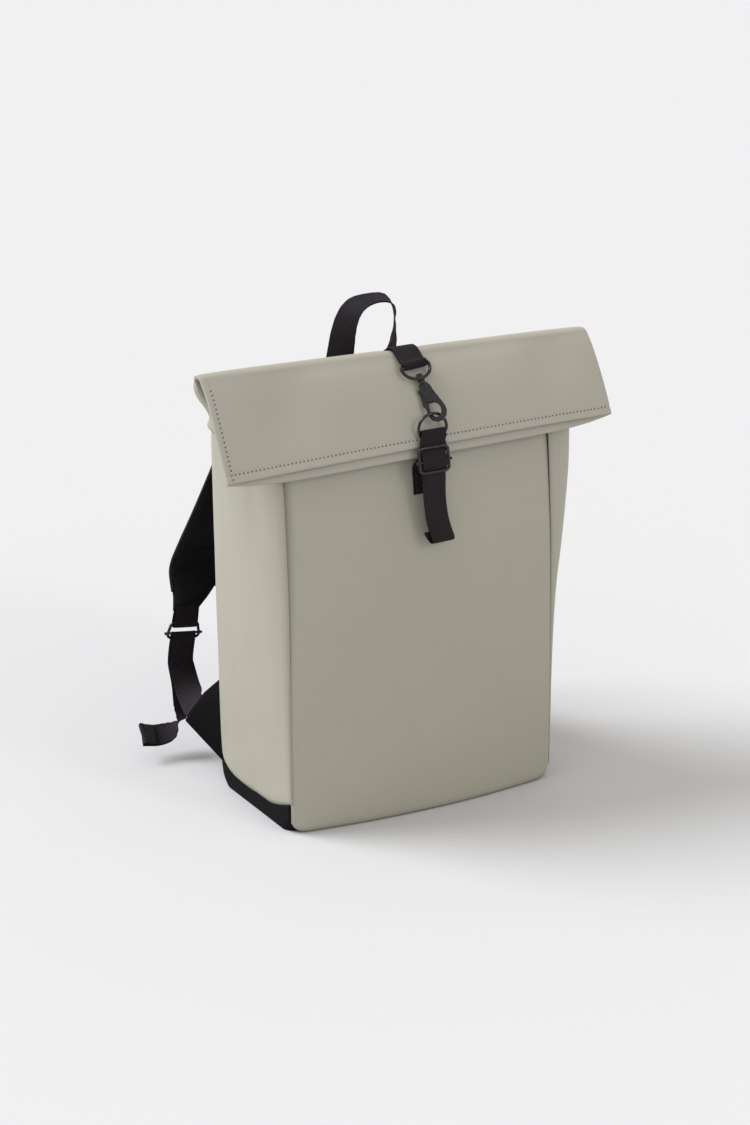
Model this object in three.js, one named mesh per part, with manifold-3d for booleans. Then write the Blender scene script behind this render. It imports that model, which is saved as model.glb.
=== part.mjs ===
import * as THREE from "three";
import { mergeVertices } from "three/addons/utils/BufferGeometryUtils.js";
import Module from "manifold-3d";

// A rolltop backpack, in millimetres: +Z up, the front faces -Y, the base rests on Z = 0.

// Body
const BODY_WIDTH = 280;
const BODY_DEPTH = 148;
const BODY_HEIGHT = 365;
const BASE_RISE = 30;
const BASE_CORNER_RADIUS = 9;

// Roll top
const FOLD_RISE = 68.5;
const FOLD_HEIGHT = BODY_HEIGHT + FOLD_RISE;
const FOLD_INSIDE_RADIUS = 3.5;
const FOLD_Y = -25.5;
const ROLL_WIDTH = 400;
const ROLL_THICKNESS = 5.6;
const FLAP_LENGTH = 88;
const FLAP_ANGLE = 30.8;
const FLAP_BELLY = 7;
const LIP_LENGTH = 7.5;

// Cloth and clearances
const CLOTH = 2;
const BACK_PADDING = 10;
const SEAM_GAP = 0.3;
const METAL_GAP = 0.35;

// Webbing
const WEBBING_WIDTH = 25;
const WEBBING_THICKNESS = 1.6;

// Closure
const TAIL_LENGTH = 66;
const ANCHOR_LENGTH = 27;
const CLOSURE_BACK_LENGTH = 62;
const RING_INSIDE = 26;
const RING_WIRE = 2.8;
const SLIDER_HEIGHT = 22.5;
const SLIDER_WIRE = 2.9;

// Snap hook
const HOOK_LENGTH = 44;
const HOOK_THICKNESS = 4;
const HOOK_SWIVEL_ANGLE = 35;
const HOOK_HEIGHT = 8.5;
const LOOP_WIRE = 3.1;
const GATE_THICKNESS = 1.8;
const RIVET_DIAMETER = 2.6;

// Haul handle
const HANDLE_SPREAD = 54;
const HANDLE_RISE = 39.5;
const HANDLE_TOP = FOLD_HEIGHT + HANDLE_RISE;

// Shoulder straps
const STRAP_WIDTH = 60;
const STRAP_THICKNESS = 9;
const STRAP_SLIDER_HEIGHT = 15;
const WING_THICKNESS = 2.4;

// Body form by height, as shares of BODY_HEIGHT and BODY_DEPTH
const BODY_FORM = [
  { height: 0, front: 0.498, back: 0.37, left: 0, right: 0, belly: 0.084 },
  { height: 0.033, front: 0.5, back: 0.43, left: 0.005, right: 0.008, belly: 0.083 },
  { height: 0.071, front: 0.5, back: 0.452, left: 0.01, right: 0.016, belly: 0.081 },
  { height: 0.148, front: 0.5, back: 0.473, left: 0.02, right: 0.03, belly: 0.077 },
  { height: 0.37, front: 0.5, back: 0.49, left: 0.045, right: 0.085, belly: 0.07 },
  { height: 0.5, front: 0.5, back: 0.503, left: 0.06, right: 0.14, belly: 0.066 },
  { height: 0.63, front: 0.495, back: 0.508, left: 0.075, right: 0.215, belly: 0.061 },
  { height: 0.82, front: 0.468, back: 0.512, left: 0.1, right: 0.295, belly: 0.054 },
  { height: 0.94, front: 0.44, back: 0.51, left: 0.13, right: 0.32, belly: 0.05 },
  { height: 1, front: 0.408, back: 0.478, left: 0.16, right: 0.33, belly: 0.048 },
];

// Lower edge of the side cloth from front to back: rise as a share of BASE_RISE
const BASE_EDGE = [
  { depth: 0, rise: 1 },
  { depth: 0.15, rise: 0.76 },
  { depth: 0.3, rise: 0.6 },
  { depth: 0.5, rise: 0.56 },
  { depth: 0.7, rise: 0.57 },
  { depth: 0.88, rise: 0.65 },
  { depth: 1, rise: 0.86 },
];

// Roll below the fold: travel from the body seam to the neck, opening of the side creases as
// shares of their opening on the flap, and how square each crease is
const NECK_FORM = [
  { travel: 0, left: 0, right: 0, square: 3 },
  { travel: 0.22, left: 0.16, right: 0.2, square: 3.2 },
  { travel: 0.45, left: 0.46, right: 0.44, square: 3.8 },
  { travel: 0.66, left: 0.79, right: 0.66, square: 4.6 },
  { travel: 0.84, left: 0.98, right: 0.86, square: 6 },
  { travel: 1, left: 1.05, right: 0.97, square: 8 },
];

// Fold turn: angle of the inner and the outer layer about the fold's axis, side openings
const FOLD_TURN = [
  { inner: 14, outer: 76, left: 1.07, right: 0.98 },
  { inner: 62, outer: 98, left: 1.06, right: 0.98 },
  { inner: 106, outer: 122, left: 1.04, right: 0.99 },
];

// Flap: share of its length, share of its belly, lift of the right end as a share of CLOTH,
// side openings
const FLAP_FORM = [
  { travel: 0, belly: 0.05, lift: -3, left: 1.02, right: 1 },
  { travel: 0.2, belly: 0.4, lift: -2.1, left: 1, right: 1 },
  { travel: 0.45, belly: 0.75, lift: -1, left: 1, right: 1 },
  { travel: 0.72, belly: 0.95, lift: 0.3, left: 0.99, right: 1 },
  { travel: 1, belly: 1, lift: 1.2, left: 0.98, right: 1 },
];

// Haul handle, half of it: spread as a share of half HANDLE_SPREAD, rise above its foot as a
// share of the handle's height, reach towards the front in shares of WEBBING_WIDTH, twist in
// degrees, tilt of the width at full twist
const HANDLE_FORM = [
  { spread: 1, rise: 0.28, reach: 0.4, twist: 36, tilt: 0 },
  { spread: 1.01, rise: 0.52, reach: 0.6, twist: 52, tilt: -0.05 },
  { spread: 0.96, rise: 0.74, reach: 0.8, twist: 66, tilt: -0.14 },
  { spread: 0.78, rise: 0.9, reach: 0.96, twist: 78, tilt: -0.1 },
  { spread: 0.44, rise: 0.98, reach: 1.06, twist: 85, tilt: 0.12 },
  { spread: 0, rise: 1, reach: 1.1, twist: 90, tilt: 0.34 },
];

// Shoulder strap from the back panel down: place as shares of BODY_WIDTH, BODY_DEPTH and
// BODY_HEIGHT, width as a share of STRAP_WIDTH, thickness as a share of STRAP_THICKNESS
const STRAP_FORM = [
  { across: 0.2, out: 0, up: 0.905, width: 0.9, thick: 0.8 },
  { across: 0.2, out: 0.06, up: 0.907, width: 0.92, thick: 0.9 },
  { across: 0.208, out: 0.2, up: 0.912, width: 0.95, thick: 1 },
  { across: 0.222, out: 0.33, up: 0.895, width: 0.98, thick: 1 },
  { across: 0.24, out: 0.42, up: 0.84, width: 1, thick: 1 },
  { across: 0.264, out: 0.475, up: 0.772, width: 1, thick: 1 },
  { across: 0.29, out: 0.535, up: 0.7, width: 1, thick: 1 },
  { across: 0.314, out: 0.597, up: 0.631, width: 1, thick: 1 },
  { across: 0.339, out: 0.672, up: 0.558, width: 1, thick: 1 },
  { across: 0.368, out: 0.711, up: 0.494, width: 0.99, thick: 0.9 },
  { across: 0.385, out: 0.69, up: 0.458, width: 0.93, thick: 0.62 },
  { across: 0.412, out: 0.645, up: 0.42, width: 0.72, thick: 0.42 },
  { across: 0.447, out: 0.598, up: 0.39, width: 0.45, thick: 0.38 },
];

// Adjuster webbing from the strap slider's middle bar: places as for the strap, and the
// direction of its width, mirrored with the side
const ADJUSTER_RUN = [
  { across: 0.472, out: 0.6, up: 0.25, wideX: 1, wideY: 0, wideZ: 0 },
  { across: 0.472, out: 0.56, up: 0.224, wideX: 1, wideY: 0.05, wideZ: 0.02 },
  { across: 0.482, out: 0.475, up: 0.195, wideX: 0.95, wideY: 0.1, wideZ: 0.2 },
  { across: 0.5, out: 0.36, up: 0.183, wideX: 0.82, wideY: 0.05, wideZ: 0.5 },
  { across: 0.522, out: 0.25, up: 0.184, wideX: 0.68, wideY: -0.05, wideZ: 0.72 },
  { across: 0.536, out: 0.17, up: 0.19, wideX: 0.66, wideY: -0.06, wideZ: 0.74 },
];
const ADJUSTER_TAIL = [
  { across: 0.472, out: 0.64, up: 0.25, wideX: 1, wideY: 0, wideZ: 0 },
  { across: 0.472, out: 0.62, up: 0.224, wideX: 1, wideY: 0.05, wideZ: 0 },
  { across: 0.478, out: 0.56, up: 0.185, wideX: 1, wideY: 0.1, wideZ: 0 },
  { across: 0.49, out: 0.52, up: 0.145, wideX: 0.95, wideY: 0.25, wideZ: 0.05 },
  { across: 0.508, out: 0.49, up: 0.105, wideX: 0.75, wideY: 0.5, wideZ: 0.2 },
  { across: 0.54, out: 0.5, up: 0.075, wideX: 0.4, wideY: 0.75, wideZ: 0.45 },
  { across: 0.595, out: 0.515, up: 0.066, wideX: 0.1, wideY: 0.85, wideZ: 0.5 },
  { across: 0.645, out: 0.525, up: 0.072, wideX: 0, wideY: 0.86, wideZ: 0.5 },
];

const rad = THREE.MathUtils.degToRad;
const v3 = (x, y, z) => new THREE.Vector3(x, y, z);
const wasm = await Module();
wasm.setup();

// Smooth value of a table's column at a place along its key column.
function column(table, key, name, place) {
  const last = table.length - 1;
  const forward = table[last][key] > table[0][key];
  const low = forward ? table[0][key] : table[last][key];
  const high = forward ? table[last][key] : table[0][key];
  const t = Math.min(Math.max(place, low), high);
  let i = 0;
  while (i < last - 1 && (forward ? table[i + 1][key] < t : table[i + 1][key] > t)) i += 1;
  const span = table[i + 1][key] - table[i][key];
  const slope = (k) => {
    const a = table[Math.max(k - 1, 0)];
    const b = table[Math.min(k + 1, last)];
    return (b[name] - a[name]) / (b[key] - a[key]);
  };
  const s = (t - table[i][key]) / span;
  const h = s * s * (3 - 2 * s);
  return (
    table[i][name] * (1 - h) + table[i + 1][name] * h +
    span * (slope(i) * s * (1 - s) * (1 - s) - slope(i + 1) * s * s * (1 - s))
  );
}

// Volume enclosed by triangles, to tell which way they face.
function signedVolume(points, faces) {
  let sum = 0;
  for (let i = 0; i < faces.length; i += 3) {
    const a = points[faces[i]];
    const b = points[faces[i + 1]];
    const c = points[faces[i + 2]];
    sum += a.dot(b.clone().cross(c));
  }
  return sum / 6;
}

function bodyFrom(points, faces) {
  if (signedVolume(points, faces) < 0)
    for (let i = 0; i < faces.length; i += 3) {
      [faces[i + 1], faces[i + 2]] = [faces[i + 2], faces[i + 1]];
    }
  const geometry = new THREE.BufferGeometry();
  geometry.setAttribute(
    "position", new THREE.Float32BufferAttribute(points.flatMap((p) => [p.x, p.y, p.z]), 3),
  );
  geometry.setIndex(faces);
  return geometry;
}

// Cloth wall between an outer and an inner grid of points; a wrapped one closes on itself.
function wall(outer, inner, wrap = false, capped = false) {
  const rows = outer.length;
  const cols = outer[0].length;
  const points = [...outer.flat(), ...inner.flat()];
  const faces = [];
  const at = (side, i, j) => side * rows * cols + i * cols + (j % cols);
  const quad = (a, b, c, d) => faces.push(a, b, c, a, c, d);
  const steps = wrap ? cols : cols - 1;
  for (let i = 0; i < rows - 1; i += 1)
    for (let j = 0; j < steps; j += 1) {
      quad(at(0, i, j), at(0, i, j + 1), at(0, i + 1, j + 1), at(0, i + 1, j));
      quad(at(1, i, j), at(1, i + 1, j), at(1, i + 1, j + 1), at(1, i, j + 1));
    }
  const n = rows - 1;
  for (let j = 0; j < steps; j += 1) {
    quad(at(1, 0, j), at(1, 0, j + 1), at(0, 0, j + 1), at(0, 0, j));
    if (!capped) quad(at(0, n, j), at(0, n, j + 1), at(1, n, j + 1), at(1, n, j));
  }
  if (capped)
    for (const side of [0, 1]) {
      const middle = points.length;
      const row = side ? inner[n] : outer[n];
      points.push(row.reduce((sum, p) => sum.add(p), v3(0, 0, 0)).divideScalar(cols));
      for (let j = 0; j < steps; j += 1)
        if (side) faces.push(at(side, n, j + 1), at(side, n, j), middle);
        else faces.push(at(side, n, j), at(side, n, j + 1), middle);
    }
  const m = cols - 1;
  if (!wrap)
    for (let i = 0; i < n; i += 1) {
      quad(at(0, i, 0), at(0, i + 1, 0), at(1, i + 1, 0), at(1, i, 0));
      quad(at(0, i + 1, m), at(0, i, m), at(1, i, m), at(1, i + 1, m));
    }
  return bodyFrom(points, faces);
}

// Section swept through stations { at, side, up, width, thick }; a ring of stations closes.
function sweep(stations, section, ring = false) {
  const size = section.length;
  const points = stations.flatMap((s) => section.map(([a, b]) =>
    s.at.clone().addScaledVector(s.side, a * s.width).addScaledVector(s.up, b * s.thick)));
  const faces = [];
  const count = stations.length;
  for (let i = 0; i < (ring ? count : count - 1); i += 1)
    for (let j = 0; j < size; j += 1) {
      const k = (i + 1) % count;
      const a = i * size + j;
      const b = i * size + ((j + 1) % size);
      const c = k * size + ((j + 1) % size);
      const d = k * size + j;
      faces.push(a, b, c, a, c, d);
    }
  if (!ring)
    for (let j = 1; j < size - 1; j += 1) {
      const last = (count - 1) * size;
      faces.push(0, j + 1, j, last, last + j, last + j + 1);
    }
  return bodyFrom(points, faces);
}

const FLAT_SECTION = [[-0.5, -0.5], [0.5, -0.5], [0.5, 0.5], [-0.5, 0.5]];
const PAD_SECTION = [
  [-0.5, -0.18], [-0.44, -0.44], [-0.2, -0.5], [0.2, -0.5], [0.44, -0.44],
  [0.5, -0.18], [0.5, 0.18], [0.44, 0.44], [0.2, 0.5], [-0.2, 0.5], [-0.44, 0.44], [-0.5, 0.18],
];
const roundSection = (sides) => Array.from({ length: sides }, (_, k) => {
  const angle = (2 * Math.PI * (k + 0.5)) / sides;
  return [0.5 * Math.cos(angle), 0.5 * Math.sin(angle)];
});

// Stations of a band along points, its width along the side vectors as far as the path allows.
function bandStations(points, sides, width, thick) {
  return points.map((at, i) => {
    const before = points[Math.max(i - 1, 0)];
    const after = points[Math.min(i + 1, points.length - 1)];
    const tangent = after.clone().sub(before).normalize();
    const side = sides[i].clone();
    side.addScaledVector(tangent, -side.dot(tangent)).normalize();
    const up = tangent.clone().cross(side).normalize();
    const w = typeof width === "number" ? width : width[i];
    const t = typeof thick === "number" ? thick : thick[i];
    return { at, side, up, width: w, thick: t };
  });
}

// Points spaced evenly along a smooth curve through the given ones.
const smoothPoints = (points, count) =>
  new THREE.CatmullRomCurve3(points, false, "centripetal").getSpacedPoints(count);

// Round wire along a closed flat outline drawn in X and Y.
function wireRing(outline, diameter, count, sides = 8) {
  const flat = outline.getSpacedPoints(count).slice(0, count);
  const stations = flat.map((p, i) => {
    const before = flat[(i + count - 1) % count];
    const after = flat[(i + 1) % count];
    const tangent = v3(after.x - before.x, after.y - before.y, 0).normalize();
    return {
      at: v3(p.x, p.y, 0), side: v3(-tangent.y, tangent.x, 0), up: v3(0, 0, 1),
      width: diameter, thick: diameter,
    };
  });
  return sweep(stations, roundSection(sides), true);
}

// Rounded rectangle, possibly narrower at the top, about the origin.
function roundedOutline(width, height, radius, topWidth = width) {
  const w = width / 2;
  const t = topWidth / 2;
  const h = height / 2;
  const r = Math.min(radius, h * 0.9, t * 0.9);
  const shape = new THREE.Shape();
  shape.moveTo(0, -h);
  shape.lineTo(w - r, -h);
  shape.quadraticCurveTo(w, -h, w - ((w - t) * r) / height, -h + r);
  shape.lineTo(t + ((w - t) * r) / height, h - r);
  shape.quadraticCurveTo(t, h, t - r, h);
  shape.lineTo(-t + r, h);
  shape.quadraticCurveTo(-t, h, -t - ((w - t) * r) / height, h - r);
  shape.lineTo(-w + ((w - t) * r) / height, -h + r);
  shape.quadraticCurveTo(-w, -h, -w + r, -h);
  shape.lineTo(0, -h);
  return shape;
}

function toManifold(geometry) {
  const plain = geometry.clone();
  plain.deleteAttribute("normal");
  plain.deleteAttribute("uv");
  const merged = mergeVertices(plain, 1e-4);
  return new wasm.Manifold(new wasm.Mesh({
    numProp: 3,
    vertProperties: new Float32Array(merged.attributes.position.array),
    triVerts: new Uint32Array(merged.index.array),
  }));
}

function fromManifold(body) {
  const mesh = body.getMesh();
  const geometry = new THREE.BufferGeometry();
  geometry.setAttribute(
    "position", new THREE.Float32BufferAttribute(Array.from(mesh.vertProperties), 3),
  );
  geometry.setIndex(Array.from(mesh.triVerts));
  return geometry;
}

const joined = (...parts) =>
  fromManifold(parts.map(toManifold).reduce((sum, part) => sum.add(part)));
const cut = (whole, ...tools) =>
  fromManifold(tools.map(toManifold).reduce((rest, tool) => rest.subtract(tool), toManifold(whole)));

// Body surface
const bodyAt = (name, z) => column(BODY_FORM, "height", name, z / BODY_HEIGHT) * BODY_DEPTH;
const frontY = (z) => -bodyAt("front", z);
const backY = (z) => bodyAt("back", z);
const PANEL_HALF = BODY_WIDTH / 2 - CLOTH - SEAM_GAP;

// Point on the front panel's outer face, moved out along its slope.
function frontPoint(x, z, out = 0) {
  const share = Math.min(Math.abs(x) / (BODY_WIDTH / 2), 1);
  const y = frontY(z) - bodyAt("belly", z) * (1 - share * share) - out;
  return v3(x, y, z);
}

// Point on a gusset's outer face; depth runs from the front seam to the back seam.
function gussetPoint(side, depth, z, inset = 0) {
  const bulge = bodyAt(side < 0 ? "left" : "right", z) * (1 - Math.abs(2 * depth - 1) ** 3);
  const y = THREE.MathUtils.lerp(frontY(z), backY(z), depth);
  return v3(side * (BODY_WIDTH / 2 + bulge - inset), y, z);
}

const baseEdge = (depth) => column(BASE_EDGE, "depth", "rise", depth) * BASE_RISE;

function frontPanel() {
  const across = [-1, -0.96, -0.85, -0.6, -0.3, 0, 0.3, 0.6, 0.85, 0.96, 1];
  const up = [0, 0.03, 0.08, 0.16, 0.28, 0.4, 0.52, 0.64, 0.76, 0.88, 1];
  const low = CLOTH + SEAM_GAP;
  const grid = (inset) => up.map((u) => across.map((a) => {
    const corner = BASE_CORNER_RADIUS * (Math.abs(a) > 0.95 ? (Math.abs(a) === 1 ? 1 : 0.25) : 0);
    const from = low + corner;
    return frontPoint(a * PANEL_HALF, from + (BODY_HEIGHT - from) * u, -inset);
  }));
  return wall(grid(0), grid(CLOTH));
}

const DEPTH_STEPS = [0, 0.05, 0.12, 0.24, 0.38, 0.5, 0.62, 0.76, 0.88, 0.95, 1];

function gusset(side) {
  const depths = DEPTH_STEPS;
  const up = [0, 0.06, 0.16, 0.3, 0.45, 0.6, 0.74, 0.86, 0.94, 1];
  const grid = (inset) => up.map((u) => depths.map((d) => {
    const from = baseEdge(d) + SEAM_GAP * 2.4;
    return gussetPoint(side, d, from + (BODY_HEIGHT - from) * u, inset);
  }));
  return wall(grid(0), grid(CLOTH));
}

function backPanel() {
  const across = [-1, -0.93, -0.7, -0.35, 0, 0.35, 0.7, 0.93, 1];
  const up = [0, 0.04, 0.14, 0.32, 0.5, 0.68, 0.84, 0.95, 1];
  const grid = (outside) => up.map((u) => across.map((a) => {
    const from = baseEdge(1) + SEAM_GAP;
    const z = from + (BODY_HEIGHT - from) * u;
    const puff = (1 - a ** 4) * (1 - (2 * u - 1) ** 4) * BACK_PADDING * 0.45;
    const y = outside ? backY(z) + puff : backY(z) - BACK_PADDING * (0.25 + 0.3 * (1 - a ** 6));
    return v3(a * PANEL_HALF, y, z);
  }));
  return wall(grid(true), grid(false));
}

function basePanel() {
  const depths = DEPTH_STEPS;
  const across = [0.96, 0.85, 0.6, 0.3, 0, -0.3, -0.6, -0.85, -0.96];
  const perimeter = [
    ...depths.map((depth) => ({ side: 1, depth })),
    ...across.map((x) => ({ side: 0, depth: 1, x })),
    ...[...depths].reverse().map((depth) => ({ side: -1, depth })),
    ...[...across].reverse().map((x) => ({ side: 0, depth: 0, x })),
  ];
  const behindPanel = CLOTH + 2.5 * SEAM_GAP;
  // One loop of the tray's skin at a height, its front wall behind the front panel or not
  const loop = (inset, heightAt, frontInset, tuck = 0) => perimeter.map((p) => {
    const edge = frontInset + inset;
    const z = heightAt(Math.max(p.depth, edge / BODY_DEPTH));
    const front = frontY(z) + edge + tuck;
    const back = backY(z) - inset - tuck;
    const half = BODY_WIDTH / 2 - inset - tuck;
    const along = THREE.MathUtils.lerp(frontY(z), backY(z), p.depth);
    if (p.side) return v3(p.side * half, Math.min(Math.max(along, front), back), z);
    const belly = p.depth ? 0 : bodyAt("belly", z) * (1 - (p.x * p.x * half * half * 4) / BODY_WIDTH ** 2);
    return v3(p.x * half, p.depth ? back : front - belly, z);
  });
  const corner = (depth) => CLOTH + 0.05 + BASE_CORNER_RADIUS * depth;
  const floorTop = CLOTH + 0.4;
  const outer = [
    loop(0, baseEdge, behindPanel), loop(0, corner, behindPanel), loop(0, () => CLOTH, 0, 0.4),
    loop(0, () => 0, 0, 1.4),
  ];
  const inner = [
    loop(CLOTH, baseEdge, behindPanel), loop(CLOTH, (depth) => corner(depth) + 1, behindPanel),
    loop(CLOTH, () => floorTop, behindPanel, 0.6), loop(CLOTH, () => floorTop, behindPanel, 12),
  ];
  return wall(outer, inner, true, true);
}

// Roll top: rows of the inner and outer layers in Y and Z
const FOLD_OUTSIDE_RADIUS = FOLD_INSIDE_RADIUS + ROLL_THICKNESS;
const FOLD_Z = FOLD_HEIGHT - FOLD_OUTSIDE_RADIUS;
const onFold = (radius, angle) => ({
  y: FOLD_Y + radius * Math.cos(rad(angle)), z: FOLD_Z + radius * Math.sin(rad(angle)),
});
const FLAP_START = 180 - FLAP_ANGLE;
const seamZ = BODY_HEIGHT + SEAM_GAP;

// The angle at which the line from a point touches a circle about the fold's axis.
function touchAngle(y, z, radius, outside) {
  const dy = y - FOLD_Y;
  const dz = z - FOLD_Z;
  const away = Math.hypot(dy, dz);
  const turn = Math.acos(Math.min(radius / away, 1));
  return THREE.MathUtils.radToDeg(Math.atan2(dz, dy) + (outside ? turn : -turn));
}

function rollRows() {
  const a0 = { y: frontY(BODY_HEIGHT), z: seamZ };
  const b0 = { y: backY(BODY_HEIGHT), z: seamZ };
  const inside = touchAngle(a0.y, a0.z, FOLD_INSIDE_RADIUS, true);
  const outside = touchAngle(b0.y, b0.z, FOLD_OUTSIDE_RADIUS, true);
  const a1 = onFold(FOLD_INSIDE_RADIUS, inside);
  const b1 = onFold(FOLD_OUTSIDE_RADIUS, outside);
  const widen = ROLL_WIDTH / 2 - BODY_WIDTH / 2;
  const start = (side) => bodyAt(side, BODY_HEIGHT);
  const mix = (p, q, t) => ({ y: p.y + (q.y - p.y) * t, z: p.z + (q.z - p.z) * t });
  const rows = NECK_FORM.map((row) => ({
    front: mix(a0, a1, row.travel),
    back: mix(b0, b1, row.travel),
    left: start("left") + (widen - start("left")) * row.left,
    right: start("right") + (widen - start("right")) * row.right,
    square: row.square,
    belly: bodyAt("belly", BODY_HEIGHT) * (1 - row.travel),
    backBelly: 0,
    lift: FLAP_FORM[0].lift * row.travel * CLOTH,
  }));
  for (const row of FOLD_TURN)
    rows.push({
      front: onFold(FOLD_INSIDE_RADIUS, row.inner), back: onFold(FOLD_OUTSIDE_RADIUS, row.outer),
      left: widen * row.left, right: widen * row.right, square: 8, belly: 0, backBelly: 0,
      lift: FLAP_FORM[0].lift * CLOTH,
    });
  const down = { y: -Math.sin(rad(FLAP_ANGLE)), z: -Math.cos(rad(FLAP_ANGLE)) };
  for (const row of FLAP_FORM) {
    const length = FLAP_LENGTH * row.travel;
    const f = onFold(FOLD_INSIDE_RADIUS, FLAP_START);
    const b = onFold(FOLD_OUTSIDE_RADIUS, FLAP_START);
    rows.push({
      front: { y: f.y + down.y * length, z: f.z + down.z * length },
      back: { y: b.y + down.y * length, z: b.z + down.z * length },
      left: widen * row.left, right: widen * row.right, square: 8,
      belly: FLAP_BELLY * row.belly, backBelly: FLAP_BELLY * row.belly,
      lift: row.lift * CLOTH, lip: LIP_LENGTH * row.travel ** 2,
    });
  }
  return rows;
}
const ROLL_ROWS = rollRows();
const NECK_ROW = NECK_FORM.length - 1;
const FLAP_ROW = NECK_FORM.length + FOLD_TURN.length;

const FLAP_OUT = v3(0, -Math.cos(rad(FLAP_ANGLE)), Math.sin(rad(FLAP_ANGLE)));
const DOWN_FLAP = v3(0, -Math.sin(rad(FLAP_ANGLE)), -Math.cos(rad(FLAP_ANGLE)));

// Point of the roll's outer skin: layer 0 is the front layer, 1 the back layer.
function layerPoint(row, layer, x) {
  const half = ROLL_WIDTH / 2;
  const share = Math.min(Math.abs(x) / half, 1);
  const base = layer ? row.back : row.front;
  const belly = (layer ? row.backBelly : row.belly) * (1 - share * share);
  const lip = layer ? 0 : (row.lip || 0) * (1 - share ** 6);
  return v3(x, base.y, base.z + (row.lift * x) / half).addScaledVector(FLAP_OUT, belly)
    .addScaledVector(DOWN_FLAP, lip);
}

// Point of the roll's section, moved into the cloth by inset.
function rollPoint(row, place, inset) {
  const half = BODY_WIDTH / 2;
  const f = layerPoint(row, 0, 0);
  const b = layerPoint(row, 1, 0);
  const through = b.clone().sub(f);
  const gap = through.length();
  const step = through.normalize().multiplyScalar(Math.min(inset, gap * 0.42));
  if (place.layer === 0) return layerPoint(row, 0, place.x * half).add(step);
  if (place.layer === 1) return layerPoint(row, 1, place.x * half).sub(step);
  const side = place.side;
  const bulge = (side < 0 ? row.left : row.right) - inset;
  const x = side * (half + bulge * (1 - Math.abs(2 * place.depth - 1) ** row.square));
  const front = layerPoint(row, 0, x).add(step);
  const back = layerPoint(row, 1, x).sub(step);
  return front.lerp(back, place.depth);
}

const LAYER_STEPS = [-1, -0.75, -0.5, -0.25, 0, 0.25, 0.5, 0.75, 1];
const CREASE_STEPS = [0.04, 0.12, 0.28, 0.5, 0.72, 0.88, 0.96];
const ROLL_PLACES = [
  ...LAYER_STEPS.map((x) => ({ layer: 0, x })),
  ...CREASE_STEPS.map((depth) => ({ layer: 2, side: 1, depth })),
  ...[...LAYER_STEPS].reverse().map((x) => ({ layer: 1, x })),
  ...[...CREASE_STEPS].reverse().map((depth) => ({ layer: 2, side: -1, depth })),
];

function rollTop() {
  const grid = (inset) => ROLL_ROWS.map((row) => ROLL_PLACES.map((place) =>
    rollPoint(row, place, inset)));
  return wall(grid(0), grid(CLOTH), true);
}

// Point above the roll's back layer: place counts rows from the body seam, out is the height.
function overRoll(place, x, out) {
  const last = ROLL_ROWS.length - 1;
  const sample = (at) => {
    const i = Math.min(Math.max(Math.floor(at), 0), last - 1);
    const t = at - i;
    return layerPoint(ROLL_ROWS[i], 1, x).lerp(layerPoint(ROLL_ROWS[i + 1], 1, x), t);
  };
  const along = sample(Math.min(place + 0.5, last)).sub(sample(Math.max(place - 0.5, 0)));
  const normal = v3(0, along.z, -along.y).normalize();
  if (normal.z < 0) normal.negate();
  return sample(place).addScaledVector(normal, out);
}

// The row place on the flap at a share of its length.
function flapPlace(share) {
  let i = 0;
  while (i < FLAP_FORM.length - 2 && FLAP_FORM[i + 1].travel < share) i += 1;
  const a = FLAP_FORM[i].travel;
  const b = FLAP_FORM[i + 1].travel;
  return FLAP_ROW + i + (share - a) / (b - a);
}
const flapPoint = (along, x, out) => overRoll(flapPlace(along / FLAP_LENGTH), x, out);

// Closure places: distance down the flap, across, and out of it, for each piece's middle
const CLOSURE = {
  fold: { across: 5 },
  bar: { out: 5.6 },
  swivel: { along: 27.5, across: 7 },
  ring: { along: 77, across: 5.2, out: 5.2, lean: 27 },
  slider: { drop: 10.5, across: 1.2, out: 8 },
};
const LAY = SEAM_GAP + WEBBING_THICKNESS / 2 + 0.1;

// Frame on the closure: X across, Y up the flap, Z out of it, leaning and turned as given.
function closureFrame(along, across, out, turn = 0, lean = 0, roll = 0) {
  const at = flapPoint(along, across, out);
  const basis = new THREE.Matrix4().makeBasis(
    v3(1, 0, 0), DOWN_FLAP.clone().negate(), FLAP_OUT.clone(),
  );
  const turned = new THREE.Matrix4().makeRotationZ(rad(roll));
  const leaned = new THREE.Matrix4().makeRotationX(rad(lean));
  const swivelled = new THREE.Matrix4().makeRotationY(rad(turn));
  return new THREE.Matrix4().setPosition(at.x, at.y, at.z)
    .multiply(basis).multiply(turned).multiply(leaned).multiply(swivelled);
}

const HOOK_ROLL = 4;
const COLLAR_HEIGHT = 4;
const LOOP_HEIGHT = 15;
const BAR_LOCAL_Y = COLLAR_HEIGHT / 2 - LOOP_WIRE / 2 + 0.3 + LOOP_HEIGHT;
const HOOK_LEAN = THREE.MathUtils.radToDeg(
  Math.asin(Math.min((HOOK_HEIGHT - CLOSURE.bar.out) / BAR_LOCAL_Y, 0.9)),
);
const swivelFrame = (turn) => closureFrame(
  CLOSURE.swivel.along, CLOSURE.swivel.across, HOOK_HEIGHT, turn, -HOOK_LEAN, HOOK_ROLL,
);
const hookFrame = swivelFrame(-HOOK_SWIVEL_ANGLE);
const loopFrame = swivelFrame(0);
const barCentre = v3(0, BAR_LOCAL_Y, 0).applyMatrix4(loopFrame);

// Hook outline from its neck down its right side, across and down as shares of HOOK_LENGTH
const HOOK_SIDE = [
  { across: -0.09, down: 0.115 }, { across: 0.09, down: 0.115 }, { across: 0.13, down: 0.2 },
  { across: 0.155, down: 0.36 }, { across: 0.205, down: 0.55 }, { across: 0.245, down: 0.72 },
  { across: 0.24, down: 0.84 }, { across: 0.185, down: 0.94 }, { across: 0.085, down: 1 },
  { across: -0.03, down: 0.99 }, { across: -0.115, down: 0.93 }, { across: -0.15, down: 0.85 },
  { across: -0.155, down: 0.77 },
];
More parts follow.
